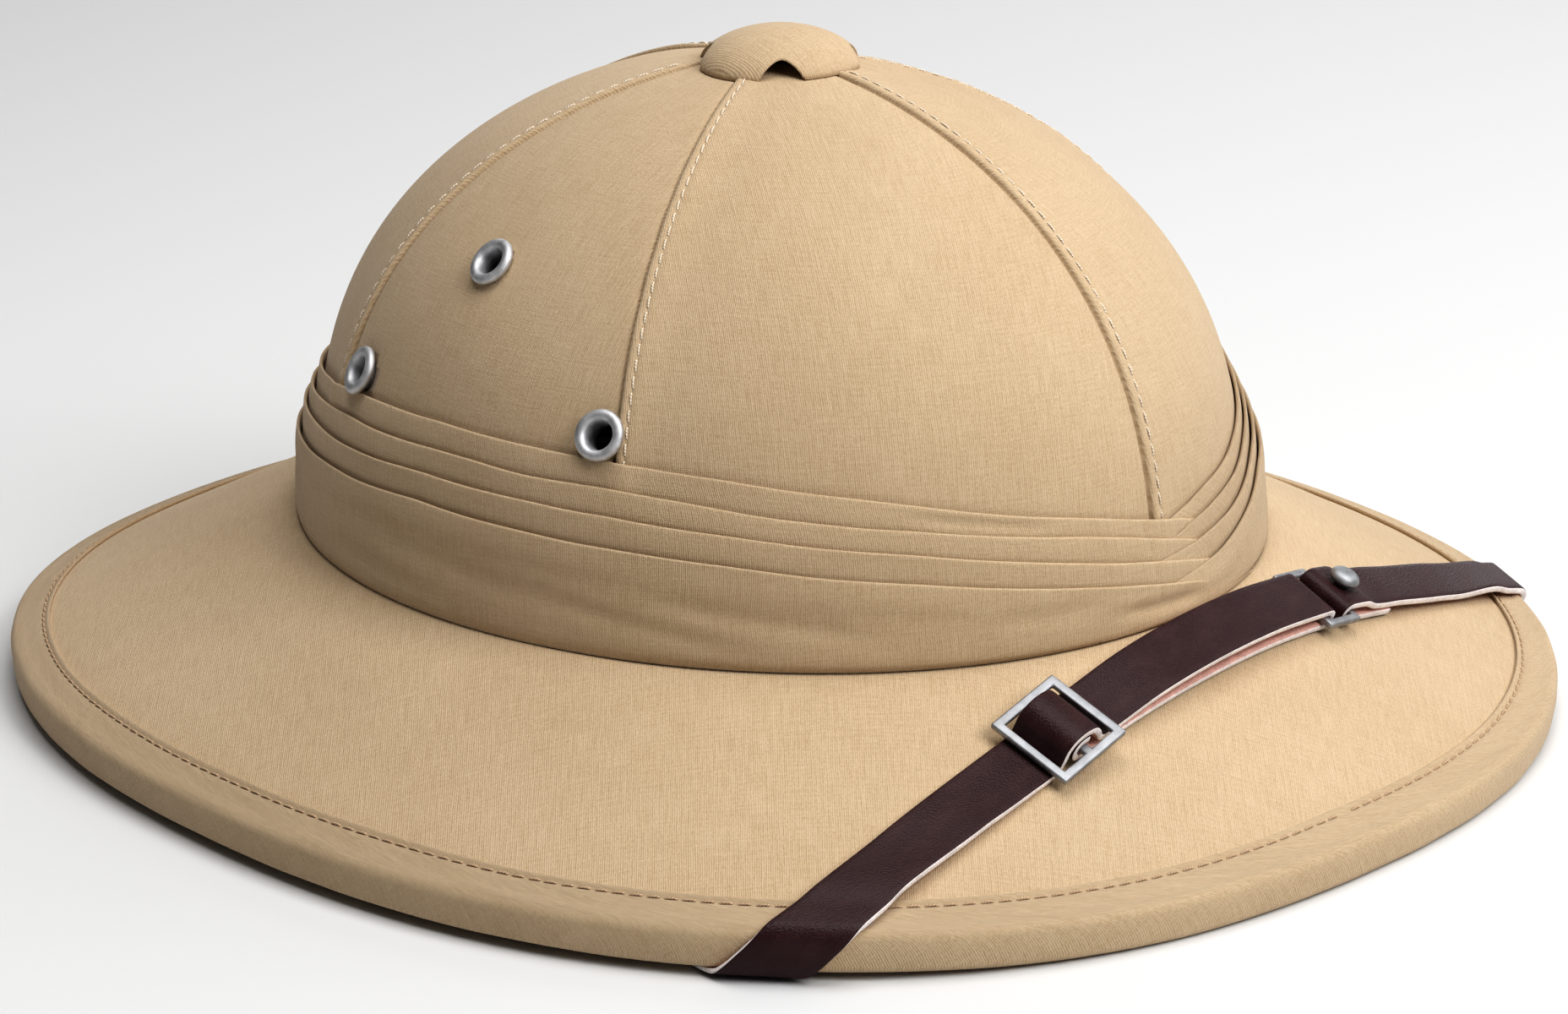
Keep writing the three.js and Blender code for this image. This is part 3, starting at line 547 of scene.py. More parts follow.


# A strip of drill cut on the bias is folded round the bead and sewn through the brim
# with one row of thread, so its inner edge stands a little above the brim.

BINDING_WIDTH = 9.0
BINDING_SKIN = Sizes(
    inset=[9, 5.4, 2.2, 1.2, 0.65, 0.4, 0.1, 0, 0.25, 0.75, 1.5, 3],
    height=[0, 0, 0, 0.2, 0.7, 1.6, 4.6, 6.6, 7.6, 8.4, 8.85, 9],
)
BINDING_TOP = Sizes(
    inset=[4.2, 5.6, 6.6, 7.1, 7.5, 7.8, 8.1, 8.45, 8.75, 8.95, 9],
    over_brim=[1.28, 1.2, 1.08, 0.9, 0.64, 0.64, 0.92, 1.08, 1.08, 0.85, -0.1],
)
BINDING_BACK = Sizes(inset=[7, 3.5], over_brim=0.1)
BINDING_INSIDE = Sizes(inset=[1, 1, 2, 9], height=[6, 1.6, 1, 0.9])
EDGE_WAVER = Sizes(size=0.22, wavelength=24, seed=3, from_inset=4)
BIAS_PUCKER = Sizes(size=0.1, wavelength=7, seed=4, kinds=3, apart=5, to_inset=2)
BINDING_STEPS = 720
RIM_STITCH = Sizes(inset=7.65, over_brim=0.66, pitch=3.5, length=3, thread=0.5, lean=0.22)
# The rim thread is the seam cotton painted darker: painted shade of the groove its stitches lie in.
RIM_THREAD = (0.55, 0.40, 0.27, 1)


def edge_share(inset):
    """How much of its edge's waver the binding has at an inset from the rim."""
    return (inset - EDGE_WAVER.from_inset) / (BINDING_WIDTH - EDGE_WAVER.from_inset)


binding_angles = 180 + np.arange(BINDING_STEPS) * 360 / BINDING_STEPS
edge_waver = wavering(BINDING_STEPS, EDGE_WAVER)
puckers = [wavering(BINDING_STEPS, BIAS_PUCKER, kind) for kind in range(BIAS_PUCKER.kinds)]
skin, top = BINDING_SKIN.inset, BINDING_TOP.inset
binding_sections = []
for number, angle in enumerate(binding_angles):
    rim = rim_radius(angle)
    places = [(number + BIAS_PUCKER.apart * k) % BINDING_STEPS for k in range(len(skin))]
    pucker = np.array([puckers[k % len(puckers)][place] for k, place in enumerate(places)])
    puckered = np.maximum(skin - pucker * (skin < BIAS_PUCKER.to_inset), 0)
    outer = on_rim(angle, puckered, BINDING_SKIN.height)
    radius = rim - top - edge_waver[number] * edge_share(top)
    over = on_brim(angle, radius, BINDING_TOP.over_brim)
    back = on_brim(angle, rim - BINDING_BACK.inset, BINDING_BACK.over_brim)
    fold = on_rim(angle, BINDING_INSIDE.inset, BINDING_INSIDE.height)
    binding_sections.append(np.concatenate([outer, over, back, fold]))
binding_mesh = sections_mesh(np.array(binding_sections))
binding = piece_of("rim_binding", *binding_mesh, [drill_cloth("binding_drill", bias=40.0)])
seat(binding, "brim_binding")

rim_angles = np.arange(0, 360.01, 0.25)
waver = np.interp(rim_angles, binding_angles, edge_waver, period=360)
stitch_inset = RIM_STITCH.inset + waver * edge_share(RIM_STITCH.inset)
rim_line = on_brim(rim_angles, rim_radius(rim_angles) - stitch_inset, RIM_STITCH.over_brim)
rim_facing = unit(around(rim_angles, RIM_STITCH.lean, 1.0))
# A darker copy of the seam cotton, as painted shade in the stitch groove along the binding.
brown_cotton = cotton_thread("brown_cotton", RIM_THREAD)
rim_stitches = stitch_rows("rim_stitches", [(rim_line, rim_facing)], RIM_STITCH, brown_cotton)
seat(rim_stitches)


# The band is a long scarf of the same cloth, folded lengthwise and wound round the crown.
# Each turn lies lower than the one before and covers all but its fold; at the front
# the turns cross, every one passing over its own start and under the next.

# Height of each turn's folded edge, on its way from the front round the wearer's left and back.
WAY = [-8, 5.5, 8.3, 12.5, 16.5, 20.5, 24.2, 28, 35, 48, 62, 90, 110, 130, 155, 180]
WAY += [205, 230, 250, 270, 298, 312, 327, 333, 351, 358, 365.5, 369.5, 375, 381]
TURN_EDGES = [
    [52.2, 56.6, 57.5, 59.3, 60.6, 62, 63.5, 64.8, 68, 72.6, 75.2, 76, 74.4, 70.6, 66, 63.3]
    + [66, 70.6, 74.4, 76, 75.5, 74, 70.8, 69.1, 62.5, 59.6, 56.5, 54.1, 51, 48.5],
    [49.2, 53.2, 54.6, 55.8, 56.8, 57.7, 59.4, 62, 64.8, 68.4, 70.4, 70.9, 69.4, 66.2, 61.5, 58.6]
    + [61.5, 66.2, 69.3, 70.9, 70.4, 68.7, 65.4, 64.4, 58.9, 56.1, 52.4, 50, 47, 44.5],
    [48.2, 50.3, 50.6, 51.6, 52.5, 54.1, 56.1, 59, 61.6, 63.8, 65.6, 66, 64.4, 62.4, 58, 55.5]
    + [58, 62.4, 64, 65.9, 65.6, 64, 61.3, 60.1, 54.1, 51.2, 48, 46.1, 43.5, 41],
    [42.5, 45.4, 46, 47, 48.6, 50.3, 52.4, 55.8, 57.6, 59.2, 60.2, 60.8, 58.7, 56.8, 52.6, 49.8]
    + [52.6, 56.8, 58.5, 60.7, 59.8, 58.4, 55.8, 54.6, 49.3, 46.8, 43.7, 41.8, 39.4, 37.4],
]
BAND = Sizes(foot=36.95, foot_stand=5.75, cloth=0.55, stand=0.35, tuck=9, step=0.6)
TURN = Sizes(stand=1.2, climbs_from=20, climbs_to=340, over_foot=0.4, least=1.2)
FOLD = Sizes(lip=0.25, lip_reach=1.6, outer_drop=0.45, inner_drop=0.5, inner_rise=0.1, softening=9)
FOLD_EDGE = Sizes(drop=[0.12, 0, 0.12], through=[0.12, 0.5, 0.88])
FOLD_WAVER = Sizes(size=0.22, wavelength=16, seed=40)
SWELL = Sizes(size=0.16, wavelength=30, seed=50, mean=0.22, reach=7)
LAST_FOOT = Sizes(pull=0.55, reach=0.8, inner_share=0.6)
BAND_ROWS = Sizes(tucked=11, last=22, inner=5, crowding=0.8)
SEAM_PUSH = Sizes(height=0.5, lap=1.2, width=1.8)
# Soft creases in the cloth: their two ends by angle and height, depth and half-width.
CREASES = [
    Sizes(turn=3, start=(6.5, 42.2), stop=(-8, 40.3), depth=0.75, width=1.5),
    Sizes(turn=3, start=(20, 45.5), stop=(6, 44.8), depth=0.35, width=2.2),
    Sizes(turn=3, start=(58, 50.5), stop=(30, 44), depth=0.55, width=2.4),
    Sizes(turn=3, start=(74, 48.5), stop=(44, 41), depth=0.4, width=2),
    Sizes(turn=3, start=(104, 52.5), stop=(66, 46), depth=0.5, width=2.8),
    Sizes(turn=3, start=(112, 43.5), stop=(84, 42), depth=0.35, width=2),
    Sizes(turn=3, start=(200, 42), stop=(170, 43.5), depth=0.25, width=2.5),
    Sizes(turn=3, start=(285, 47), stop=(250, 43.5), depth=0.25, width=3),
    Sizes(turn=0, start=(29, 67), stop=(11, 61.4), depth=0.45, width=0.8),
]


def crease_depth(turn, angle, height):
    total = np.zeros_like(height)
    for crease in CREASES:
        if crease.turn == turn:
            (a0, z0), (a1, z1) = crease.start, crease.stop
            across = (angle - a0 + 180) % 360 - 180
            share = np.clip(across / (a1 - a0), -0.5, 1.5)
            off = height - (z0 + (z1 - z0) * share)
            ends = smoothstep(share, -0.05, 0.3) * (1 - smoothstep(share, 0.7, 1.05))
            total = total + crease.depth * ends * np.exp(-((off / crease.width) ** 2))
    return total


def seam_ridge(angle):
    """How far the gore seams under the band push it out."""
    ridges = np.array([seam.angle + SEAM_PUSH.lap * seam.lap for seam in SEAMS])
    away = np.min(np.abs((angle - ridges + 180) % 360 - 180))
    return SEAM_PUSH.height * np.exp(-((away / SEAM_PUSH.width) ** 2))


band_way = np.arange(WAY[0], WAY[-1] + 0.01, BAND.step)
softening = np.hanning(FOLD.softening) / np.hanning(FOLD.softening).sum()
climb = 0.5 + 0.5 * smoothstep(band_way, TURN.climbs_from, TURN.climbs_to)
inward = np.linspace(0, 1, BAND_ROWS.inner)
band_turns = []
for turn, edges in enumerate(TURN_EDGES):
    last = turn == len(TURN_EDGES) - 1
    drawn = np.interp(band_way, WAY, edges)
    drawn = np.pad(drawn, len(softening) // 2, "reflect", reflect_type="odd")
    edge_line = np.convolve(drawn, softening, "valid") + wavering(len(band_way), FOLD_WAVER, turn)
    stand_line = BAND.stand + TURN.stand * (turn + climb)
    swell_line = SWELL.mean + wavering(len(band_way), SWELL, turn)
    up = np.linspace(0, 1, BAND_ROWS.tucked)
    if last:
        up = np.linspace(0, 1, BAND_ROWS.last) ** BAND_ROWS.crowding
    sections = []
    for angle, edge, stand, swell in zip(-band_way, edge_line, stand_line, swell_line):
        low = BAND.foot if last else max(BAND.foot + TURN.over_foot, edge - BAND.tuck)
        low = min(low, edge - TURN.least)
        to_foot = BAND.foot_stand - stand if last else 0.0
        height = low + (edge - FOLD.outer_drop - low) * up
        outward = stand + swell * np.sin(np.pi * np.clip((edge - height) / SWELL.reach, 0, 1))
        if last:
            pull = LAST_FOOT.pull * np.exp(-(height - low) / LAST_FOOT.reach)
            outward = outward + to_foot * (1 - up) - pull
        lip = FOLD.lip * np.exp(-(edge - height) / FOLD.lip_reach)
        outward = outward + lip - crease_depth(turn, angle, height)
        fold_height = edge - FOLD_EDGE.drop
        fold = stand + FOLD.lip - BAND.cloth * FOLD_EDGE.through
        inner_height = np.linspace(edge - FOLD.inner_drop, low + FOLD.inner_rise, BAND_ROWS.inner)
        inner = stand - BAND.cloth + LAST_FOOT.inner_share * to_foot * inward
        height = np.concatenate([height, fold_height, inner_height])
        ridge = seam_ridge(angle) if turn == 0 else 0.0
        radius = dome_radius(angle, height) + np.concatenate([outward, fold, inner]) + ridge
        sections.append(around(angle, radius, height))
    band_turns.append(sections_mesh(np.array(sections)[::-1], ring=False))
band = piece_of("band_turns", *joined(band_turns), [drill_cloth("band_drill", bias=4.0)])
seat(band, "band")


# The vent cap is a small pressed button covered with drill, with four arches cut in its edge
# to let air out; a plain post with a cross bar holds it over the hole in the crown.

CAP = Sizes(radius=17.9, height=9, base=136.2, roundness=1.9, wall=1.5, forward=4)
ARCHES = Sizes(first=41, apart=90, height=4.1, half_angle=16, fullness=0.7)
CAP_LIP = Sizes(inset=[1.1, 0.3], drop=0.2, over_crown=0.3)
POST_STEEL = (0.45, 0.45, 0.46, 1)
CAP_STEPS = 240
CAP_RINGS = 16


def dome_height(x, y):
    angle, radius = np.degrees(np.arctan2(-x, -y)), np.hypot(x, y)
    heights = np.linspace(CROWN.foot, CROWN.top - 1e-6, 6000)
    return float(np.interp(-radius, -dome_radius(angle, heights), heights))


cap_sections = []
for angle in np.arange(CAP_STEPS) * 360 / CAP_STEPS:
    x, y, _ = around(angle, CAP.radius, 0.0)
    half_way = ARCHES.apart / 2
    from_arch = (angle - ARCHES.first + half_way) % ARCHES.apart - half_way
    off = min(1.0, abs(from_arch) / ARCHES.half_angle)
    opening = ARCHES.height * math.cos(off * math.pi / 2) ** ARCHES.fullness
    edge = dome_height(x, y - CAP.forward) + CAP_LIP.over_crown + opening
    top = CAP.base + CAP.height
    rings = np.sin(np.linspace(0, np.pi / 2, CAP_RINGS))
    levels = edge + (top - edge) * rings
    rise = np.clip((levels - CAP.base) / CAP.height, 0, 1)
    radius = CAP.radius * (1 - rise ** CAP.roundness) ** (1 / CAP.roundness)
    radius[-1] = 0
    outer = around(angle, radius, levels)
    within = np.maximum(0, radius - CAP.wall)
    inner = around(angle, within, levels - CAP.wall * rings)[::-1]
    lip = around(angle, radius[0] - CAP_LIP.inset, edge - CAP_LIP.drop)
    cap_sections.append(np.concatenate([outer, inner, lip]) - (0, CAP.forward, 0))
cap_mesh = cut_in_plan(*sections_mesh(np.array(cap_sections))[:2])
cap = piece_of("vent_cap_cover", *cap_mesh, [drill_cloth("cap_drill")])
seat(cap, "vent_cap")


def worked_metal(name, colour, roughness, scratch):
    """Plated or rolled metal with fine tool lines, handling marks and a little unevenness."""
    material, cut = new_finish(name)
    place = cut.node("TexCoord", output=3)
    smear = place.node("TexNoise", sockets={"Vector": place, "Scale": 420.0, "Detail": 4.0})
    lines = place.node("TexNoise", sockets={"Vector": place, "Scale": 2600.0, "Detail": 2.0})
    cut.show(
        Base_Color=smear.between(0.25, 0.75).mixed(shaded(colour, 0.72), colour),
        Metallic=1.0,
        Roughness=roughness + smear * 0.14 + lines * 0.08,
        Normal=cut.bumped(lines + smear * 0.6, scratch),
    )
    return material


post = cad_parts["cap_post"]
post.data.materials.clear()
post.data.materials.append(worked_metal("post_steel", POST_STEEL, 0.35, 0.00003))


# Six rolled aluminium eyelets air the sides of the crown. Each is one turned-over ring
# whose barrel goes through the shell; the lower two of a side lie on the band's edge.

EYELET_SECTION = Sizes(
    radius=[2.9, 3.4, 3.4, 3.7, 4.8, 5.15, 5.35, 5.4, 5.3]
    + [5.05, 4.65, 4.2, 3.75, 3.4, 3.15, 3, 2.92, 2.9],
    height=[-3.8, -3.8, -0.4, -0.1, 0, 0.15, 0.45, 0.8, 1.2]
    + [1.5, 1.72, 1.8, 1.72, 1.5, 1.15, 0.7, 0.1, -0.8],
)
EYELET_STEPS = 64
ALUMINIUM = (0.70, 0.70, 0.71, 1)


def turned_piece(name, section, steps, middle, facing, finish):
    """A ring or knob turned from a closed section, stood at a place in mm and facing a given way."""
    radius, height = section.radius, section.height
    sections = np.array([around(angle, radius, height) for angle in np.arange(steps) * 360 / steps])
    vertices, faces, uvs = sections_mesh(sections)
    return piece_of(name, turned_to(facing, vertices) + middle, faces, uvs, [finish])


aluminium = worked_metal("rolled_aluminium", ALUMINIUM, 0.5, 0.00003)
for name, middle, facing in eyelets:
    eyelet = turned_piece(name + "_ring", EYELET_SECTION, EYELET_STEPS, middle, facing, aluminium)
    seat(eyelet, name)


# The chin strap is two lengths of dark bridle leather, grain side out and pink flesh side in.
# The long one is riveted inside the brim, comes round the rim, goes through the slide buckle and
# round the ring and ends in a loop on the buckle's bar; the short one folds round the ring's far bar.

STRAP = Sizes(width=12.8, leather=1.6, lying=1.25, step=13, gap=0.3, over_binding=1.3)
LANE = [(-90, -129.6), (-45, -127), (0, -123.9), (43, -119), (85, -113.2), (110, -107.6)]
END_SKEW = Sizes(most=7, reach=34, lift=1)
BUCKLE = Sizes(long=18.2, wide=19.4, thick=1.4, bar=2, middle=2, along=47.6, height=4.2, tilt=7.6)
RING = Sizes(long=11.6, wide=17.2, thick=1.5, bar=1.8, middle=0, along=133.8, height=3.1, tilt=0)
# Middle of the leather along the lane and above the brim.
BUCKLE_HUMP = Sizes(
    along=[-14, -7.8, -6.2, -5.2, -4.5, -2.7, 0, 2.7, 4.4, 5.3, 6.5, 10, 24, 42, 62, 76],
    height=[1.25, 1.25, 2, 3.8, 6, 7.6, 8.1, 7.5, 5.7, 4, 3.2, 3.15, 5, 5.8, 5.6, 5.1],
)
RING_FOLD = Sizes(
    along=[-1.4, 0.9, 2.1, 2.45, 2.1, 0.9, -1.4],
    height=[5.05, 5, 4.3, 3.1, 1.95, 1.2, 1.2],
)
BUCKLE_LOOP = Sizes(
    along=[62, 42, 24, 10, 4, 0.8, -1.5, -2.4, -1.5, 0.3, 1.4],
    height=[1.2, 1.2, 1.2, 1.2, 1.3, 1.9, 2.4, 4, 5.7, 6.15, 6],
)
SHORT_FOLD = Sizes(
    along=[17, 9, 1.4, -0.9, -2.1, -2.45, -2.1, -0.9, 1.4, 5.6, 9, 13, 19, 30, 44],
    height=[1.2, 1.2, 1.2, 1.2, 1.95, 3.1, 4.3, 5, 5, 4.75, 3.7, 3.3, 3.2, 2.7, 1.9],
)
RIM_WRAP = Sizes(
    inset=[9, 5.2, 2.2, 0, -1.2, -1.45, -1.3, -0.4, 1.6, 10.5],
    height=[13.7, 11.7, 10.5, 9.4, 7.6, 5.2, 2.1, 0.15, -0.58, -0.62],
    leather=[1.6, 1.6, 1.6, 1.6, 1.6, 1.5, 1.3, 1.1, 1, 1],
)
LONG_END = Sizes(crossing=42.8, at=(-116, -14))
SHORT_END = Sizes(crossing=-54.4, at=(118, -14))
UNDER_RUN = Sizes(start_inset=17, steps=6, past_rivet=6.5)
GRAIN = (0.034, 0.0115, 0.0130, 1)
GRAIN_PALE = (0.052, 0.022, 0.023, 1)
FLESH = (0.80, 0.50, 0.43, 1)
CUT_EDGE = (0.92, 0.86, 0.84, 1)


def blended(first, second, share):
    return first * (1 - share) + second * share


def smooth_path(points, per_span):
    """A smooth line through points, which may carry more than three numbers each."""
    points = np.asarray(points, float)
    points = np.concatenate([[2 * points[0] - points[1]], points, [2 * points[-1] - points[-2]]])
    drawn = []
    for p0, p1, p2, p3 in zip(points, points[1:], points[2:], points[3:]):
        t1 = max(np.linalg.norm(p1 - p0), 1e-6) ** 0.5
        t2 = t1 + max(np.linalg.norm(p2 - p1), 1e-6) ** 0.5
        t3 = t2 + max(np.linalg.norm(p3 - p2), 1e-6) ** 0.5
        t = np.linspace(t1, t2, per_span, endpoint=False)[:, None]
        a1 = blended(p0, p1, t / t1)
        a2 = blended(p1, p2, (t - t1) / (t2 - t1))
        a3 = blended(p2, p3, (t - t2) / (t3 - t2))
        b1, b2 = blended(a1, a2, t / t2), blended(a2, a3, (t - t1) / (t3 - t1))
        drawn.append(blended(b1, b2, (t - t1) / (t2 - t1)))
    return np.concatenate([*drawn, points[-2:-1]])


lane_line = smooth_path([(x, y, 0.0) for x, y in LANE], 80)
lane_lengths = lengths_along(lane_line, 0)


def angle_of(point):
    return np.degrees(np.arctan2(-point[0], -point[1]))


def rest_height(point):
    """Upper face of the brim, or of the binding near the rim."""
    angle, radius = angle_of(point), np.hypot(point[0], point[1])
    bound = rim_radius(angle) - radius < BINDING_WIDTH + STRAP.leather
    return brim_top(angle, radius) + (STRAP.over_binding if bound else 0.0)


def under_height(point):
    below = BRIM_PLATE.thickness + STRAP.gap + STRAP.leather
    return brim_top(angle_of(point), np.hypot(point[0], point[1])) - below


def raised(point, height_at):
    return np.array([point[0], point[1], height_at(point)])


def surface_axes(point, direction, height_at):
    """A surface's own directions at a point in plan: ahead, across and up."""
    sideways = np.array([-direction[1], direction[0], 0.0])
    ahead = unit(raised(point + direction, height_at) - raised(point - direction, height_at))
    beside = unit(raised(point + sideways, height_at) - raised(point - sideways, height_at))
    up = unit(np.cross(ahead, beside))
    return ahead, np.cross(up, ahead), up


def lane_axes(along):
    near = [along - 0.5, along, along + 0.5]
    before, point, after = line_at(near, lane_lengths, lane_line)
    return (raised(point, rest_height), *surface_axes(point, unit(after - before), rest_height))


def end_skew(along):
    """How far the strap's edges are set apart along the lane, so that its fold follows the rim."""
    at_right = 1 - smoothstep(along, END_SKEW.most, END_SKEW.reach)
    to_end = lane_lengths[-1] - along
    at_left = 1 - smoothstep(to_end, END_SKEW.most, END_SKEW.reach)
    return END_SKEW.most * (at_right - at_left)


def lane_station(along, height):
    skew, corners = end_skew(along), []
    lift = height + END_SKEW.lift * abs(skew) / END_SKEW.most
    for side in (-1, 1):
        point, _, across, up = lane_axes(along - side * skew)
        corners += [*(raised(point + across * side * STRAP.width / 2, rest_height) + up * lift)]
    return [*corners, STRAP.leather]


def lane_stations(rows, origin):
    return [lane_station(origin + along, height) for along, height in zip(rows.along, rows.height)]


def lying_stations(start, end):
    steps = math.ceil(abs(end - start) / STRAP.step)
    return [lane_station(along, STRAP.lying) for along in np.linspace(start, end, steps + 1)]


def angle_at_inset(start, direction, inset):
    """Angle at which a straight line in plan, going out, comes within an inset of the rim."""
    point = np.array([start[0], start[1], 0.0])
    for _ in range(60):
        to_go = rim_radius(angle_of(point)) - inset - np.hypot(point[0], point[1])
        point = point + direction * to_go
    return angle_of(point)


def end_stations(last, outward, end):
    """A strap's end, slanting straight round the rim and on under the brim to its rivet."""
    rivet = np.array([*end.at, 0.0])
    under = unit(around(end.crossing, rim_radius(end.crossing), 0.0) - rivet)
    tip = rivet - under * UNDER_RUN.past_rivet
    sideways = np.array([-under[1], under[0], 0.0]) * -np.sign(rivet[0]) * STRAP.width / 2
    edges = [(np.array(last[:3]), tip + sideways), (np.array(last[3:6]), tip - sideways)]
    inset, height = RIM_WRAP.inset, RIM_WRAP.height
    share = lengths_along(np.stack([inset, height], -1), 0)
    share = share / share[-1]
    corners = []
    above = np.array([angle_at_inset(top, outward, inset[0]) for top, _ in edges])
    beneath = np.array([angle_at_inset(below, under, inset[-1]) for _, below in edges])
    for start in above:
        angle = start + np.mean(beneath - above) * share
        corners.append(on_rim(angle, inset, height))
    stations = [[*near, *far, leather] for near, far, leather in zip(*corners, RIM_WRAP.leather)]
    starts = []
    for _, below in edges:
        angle = angle_at_inset(below, under, UNDER_RUN.start_inset)
        starts.append(around(angle, rim_radius(angle) - UNDER_RUN.start_inset, 0.0))
    for share in np.linspace(0, 1, UNDER_RUN.steps + 1):
        flat = [blended(start, below, share) for start, (_, below) in zip(starts, edges)]
        near, far = (raised(corner, under_height) for corner in flat)
        stations.append([*near, *far, STRAP.leather])
    return stations


def bridle_leather():
    """Dark brown grain: small pebbles in shallow creases, a waxy shine and a few dry scuffs."""
    material, cut = new_finish("strap_grain")
    settings = {"feature": "SMOOTH_F1", "voronoi_dimensions": "2D"}
    pebble = cut.node("TexVoronoi", settings, {"Vector": cut, "Scale": 2.4})
    crease = cut.noise(0.6, 1.8, 4.0)
    wear = cut.noise(0.12, 0.2, 4.0)
    colour = (wear * 0.8 + crease * 0.35).between(0.45, 0.95).mixed(GRAIN, GRAIN_PALE)
    cut.show(
        Base_Color=colour,
        Roughness=0.34 + wear * 0.12 + crease * 0.08,
        Normal=cut.bumped(crease * 0.5 - pebble * 0.8, 0.00010),
        Specular_IOR_Level=0.26,
    )
    return material


def suede(name, colour, pile):
    """The raw inner side or cut edge of the leather: short matted fibres."""
    material, cut = new_finish(name)
    fibre = cut.noise(3.0, 1.2, 4.0)
    patch = cut.noise(0.25, 0.25, 3.0)
    tone = (fibre * 0.7 + patch * 0.5).between(0.3, 0.9).mixed(shaded(colour, 0.66), colour)
    bump = cut.bumped(fibre, pile)
    cut.show(Base_Color=tone, Roughness=0.95, Normal=bump, Specular_IOR_Level=0.15)
    return material


# The leather's section: across it from -1 to 1, and through it from grain (-1) to flesh (1).
# A side of 0 is grain, 1 flesh and 2 the cut edge.
LEATHER_SECTION = Sizes(
    across=[-0.94, -0.8, -0.4, 0, 0.4, 0.8, 0.94, 0.985, 1]
    + [1, 0.985, 0.8, 0, -0.8, -0.985, -1, -1, -0.985],
    through=[-0.97, -1, -1, -1, -1, -1, -0.97, -0.8, -0.35]
    + [0.5, 0.95, 1, 1, 1, 0.95, 0.5, -0.35, -0.8],
)
LEATHER_SIDES = [0, 0, 0, 0, 0, 0, 0, 2, 2, 2, 1, 1, 1, 1, 2, 2, 2, 0]
END_SIDES = [2, 2]
leather_sides = [
    bridle_leather(),
    suede("strap_flesh", FLESH, 0.0002),
    suede("strap_cut_edge", CUT_EDGE, 0.0001),
]


def leather_strip(name, solid, stations):
    path = smooth_path(stations, 5)
    near, far, leather = path[:, :3], path[:, 3:6], path[:, 6]
    middle = (near + far) / 2
    half = unit(np.cross(far - near, np.gradient(middle, axis=0))) * leather[:, None] / 2
    across = LEATHER_SECTION.across[:, None] * ((far - near) / 2)[:, None]
    through = LEATHER_SECTION.through[:, None] * half[:, None]
    sections = middle[:, None] + across + through
    girth = lengths_along(np.concatenate([sections[0], sections[0][:1]]), 0)
    weave = np.stack(np.broadcast_arrays(lengths_along(middle, 0)[:, None], girth[None]), -1)
    vertices, faces, uvs = sections_mesh(sections, ring=False, weave=weave)
    sides = LEATHER_SIDES * (len(path) - 1) + END_SIDES
    strip = piece_of(name, vertices, faces, uvs, leather_sides, sides)
    seat(strip, solid)
    flat = (0.001 * STRAP.width, 0.001 * lengths_along(middle, 0)[-1])


ring_reach = (RING.long - RING.bar) / 2
lane_ahead = [unit(lane_line[1] - lane_line[0]), unit(lane_line[-1] - lane_line[-2])]
long_first, short_last = END_SKEW.most, lane_lengths[-1] - END_SKEW.most
long_start = lane_station(long_first, STRAP.lying)
short_end = lane_station(short_last, STRAP.lying)
long_stations = [
    *end_stations(long_start, -lane_ahead[0], LONG_END)[::-1],
    *lying_stations(long_first, BUCKLE.along + BUCKLE_HUMP.along[0])[:-1],
    *lane_stations(BUCKLE_HUMP, BUCKLE.along),
    *lane_stations(RING_FOLD, RING.along - ring_reach),
    *lane_stations(BUCKLE_LOOP, BUCKLE.along),
]
short_stations = [
    *lane_stations(SHORT_FOLD, RING.along + ring_reach),
    *lying_stations(RING.along + ring_reach + SHORT_FOLD.along[-1], short_last)[1:],
    *end_stations(short_end, lane_ahead[1], SHORT_END),
]
leather_strip("chin_strap_long", "strap_long", long_stations)
leather_strip("chin_strap_short", "strap_short", short_stations)


# The slide buckle and the ring are stamped from nickel-plated steel, flat with softened edges.
# The strap's own tension holds them; the buckle tips a little where the leather humps over its bar.

NICKEL = (0.42, 0.425, 0.44, 1)
EASED_EDGE = Sizes(width=0.45, segments=3, from_angle=40, sharp_from=50)
nickel = worked_metal("nickel_plate", NICKEL, 0.46, 0.000012)


def stamped_frame(name, sizes, node):
    """A flat frame with eased edges, and a window on either side of its middle bar if it has one."""
    length, width, bar = sizes.long / 2, sizes.wide / 2, sizes.bar
    middle = [-sizes.middle / 2, sizes.middle / 2] if sizes.middle else []
    columns = [-length, -length + bar, *middle, length - bar, length]
    rows = [-width, -width + bar, width - bar, width]
    point, ahead, across, up = lane_axes(sizes.along)
    axes = Matrix((Vector(ahead), Vector(across), Vector(up))).transposed()
    axes = np.array(axes @ Matrix.Rotation(-math.radians(sizes.tilt), 3, "Y"))
    flat = np.array([[x, y, 0.0] for x in columns for y in rows])
    faces = [
        [4 * i + j, 4 * (i + 1) + j, 4 * (i + 1) + j + 1, 4 * i + j + 1]
        for i in range(len(columns) - 1)
        for j in range(3)
        if i % 2 == 0 or j != 1
    ]
    standing = flat @ axes.T + point + up * sizes.height
    stamped = piece_of(name, standing, faces, finishes=[nickel])
    thick = stamped.modifiers.new("thickness", "SOLIDIFY")
    thick.thickness, thick.offset = sizes.thick * 0.001, 0.0
    ease = stamped.modifiers.new("eased", "BEVEL")
    ease.width, ease.segments = EASED_EDGE.width * 0.001, EASED_EDGE.segments
    ease.limit_method, ease.angle_limit = "ANGLE", math.radians(EASED_EDGE.from_angle)
    apply_modifiers(stamped)
    stamped.data.set_sharp_from_angle(angle=math.radians(EASED_EDGE.sharp_from))
    seat(stamped, node)


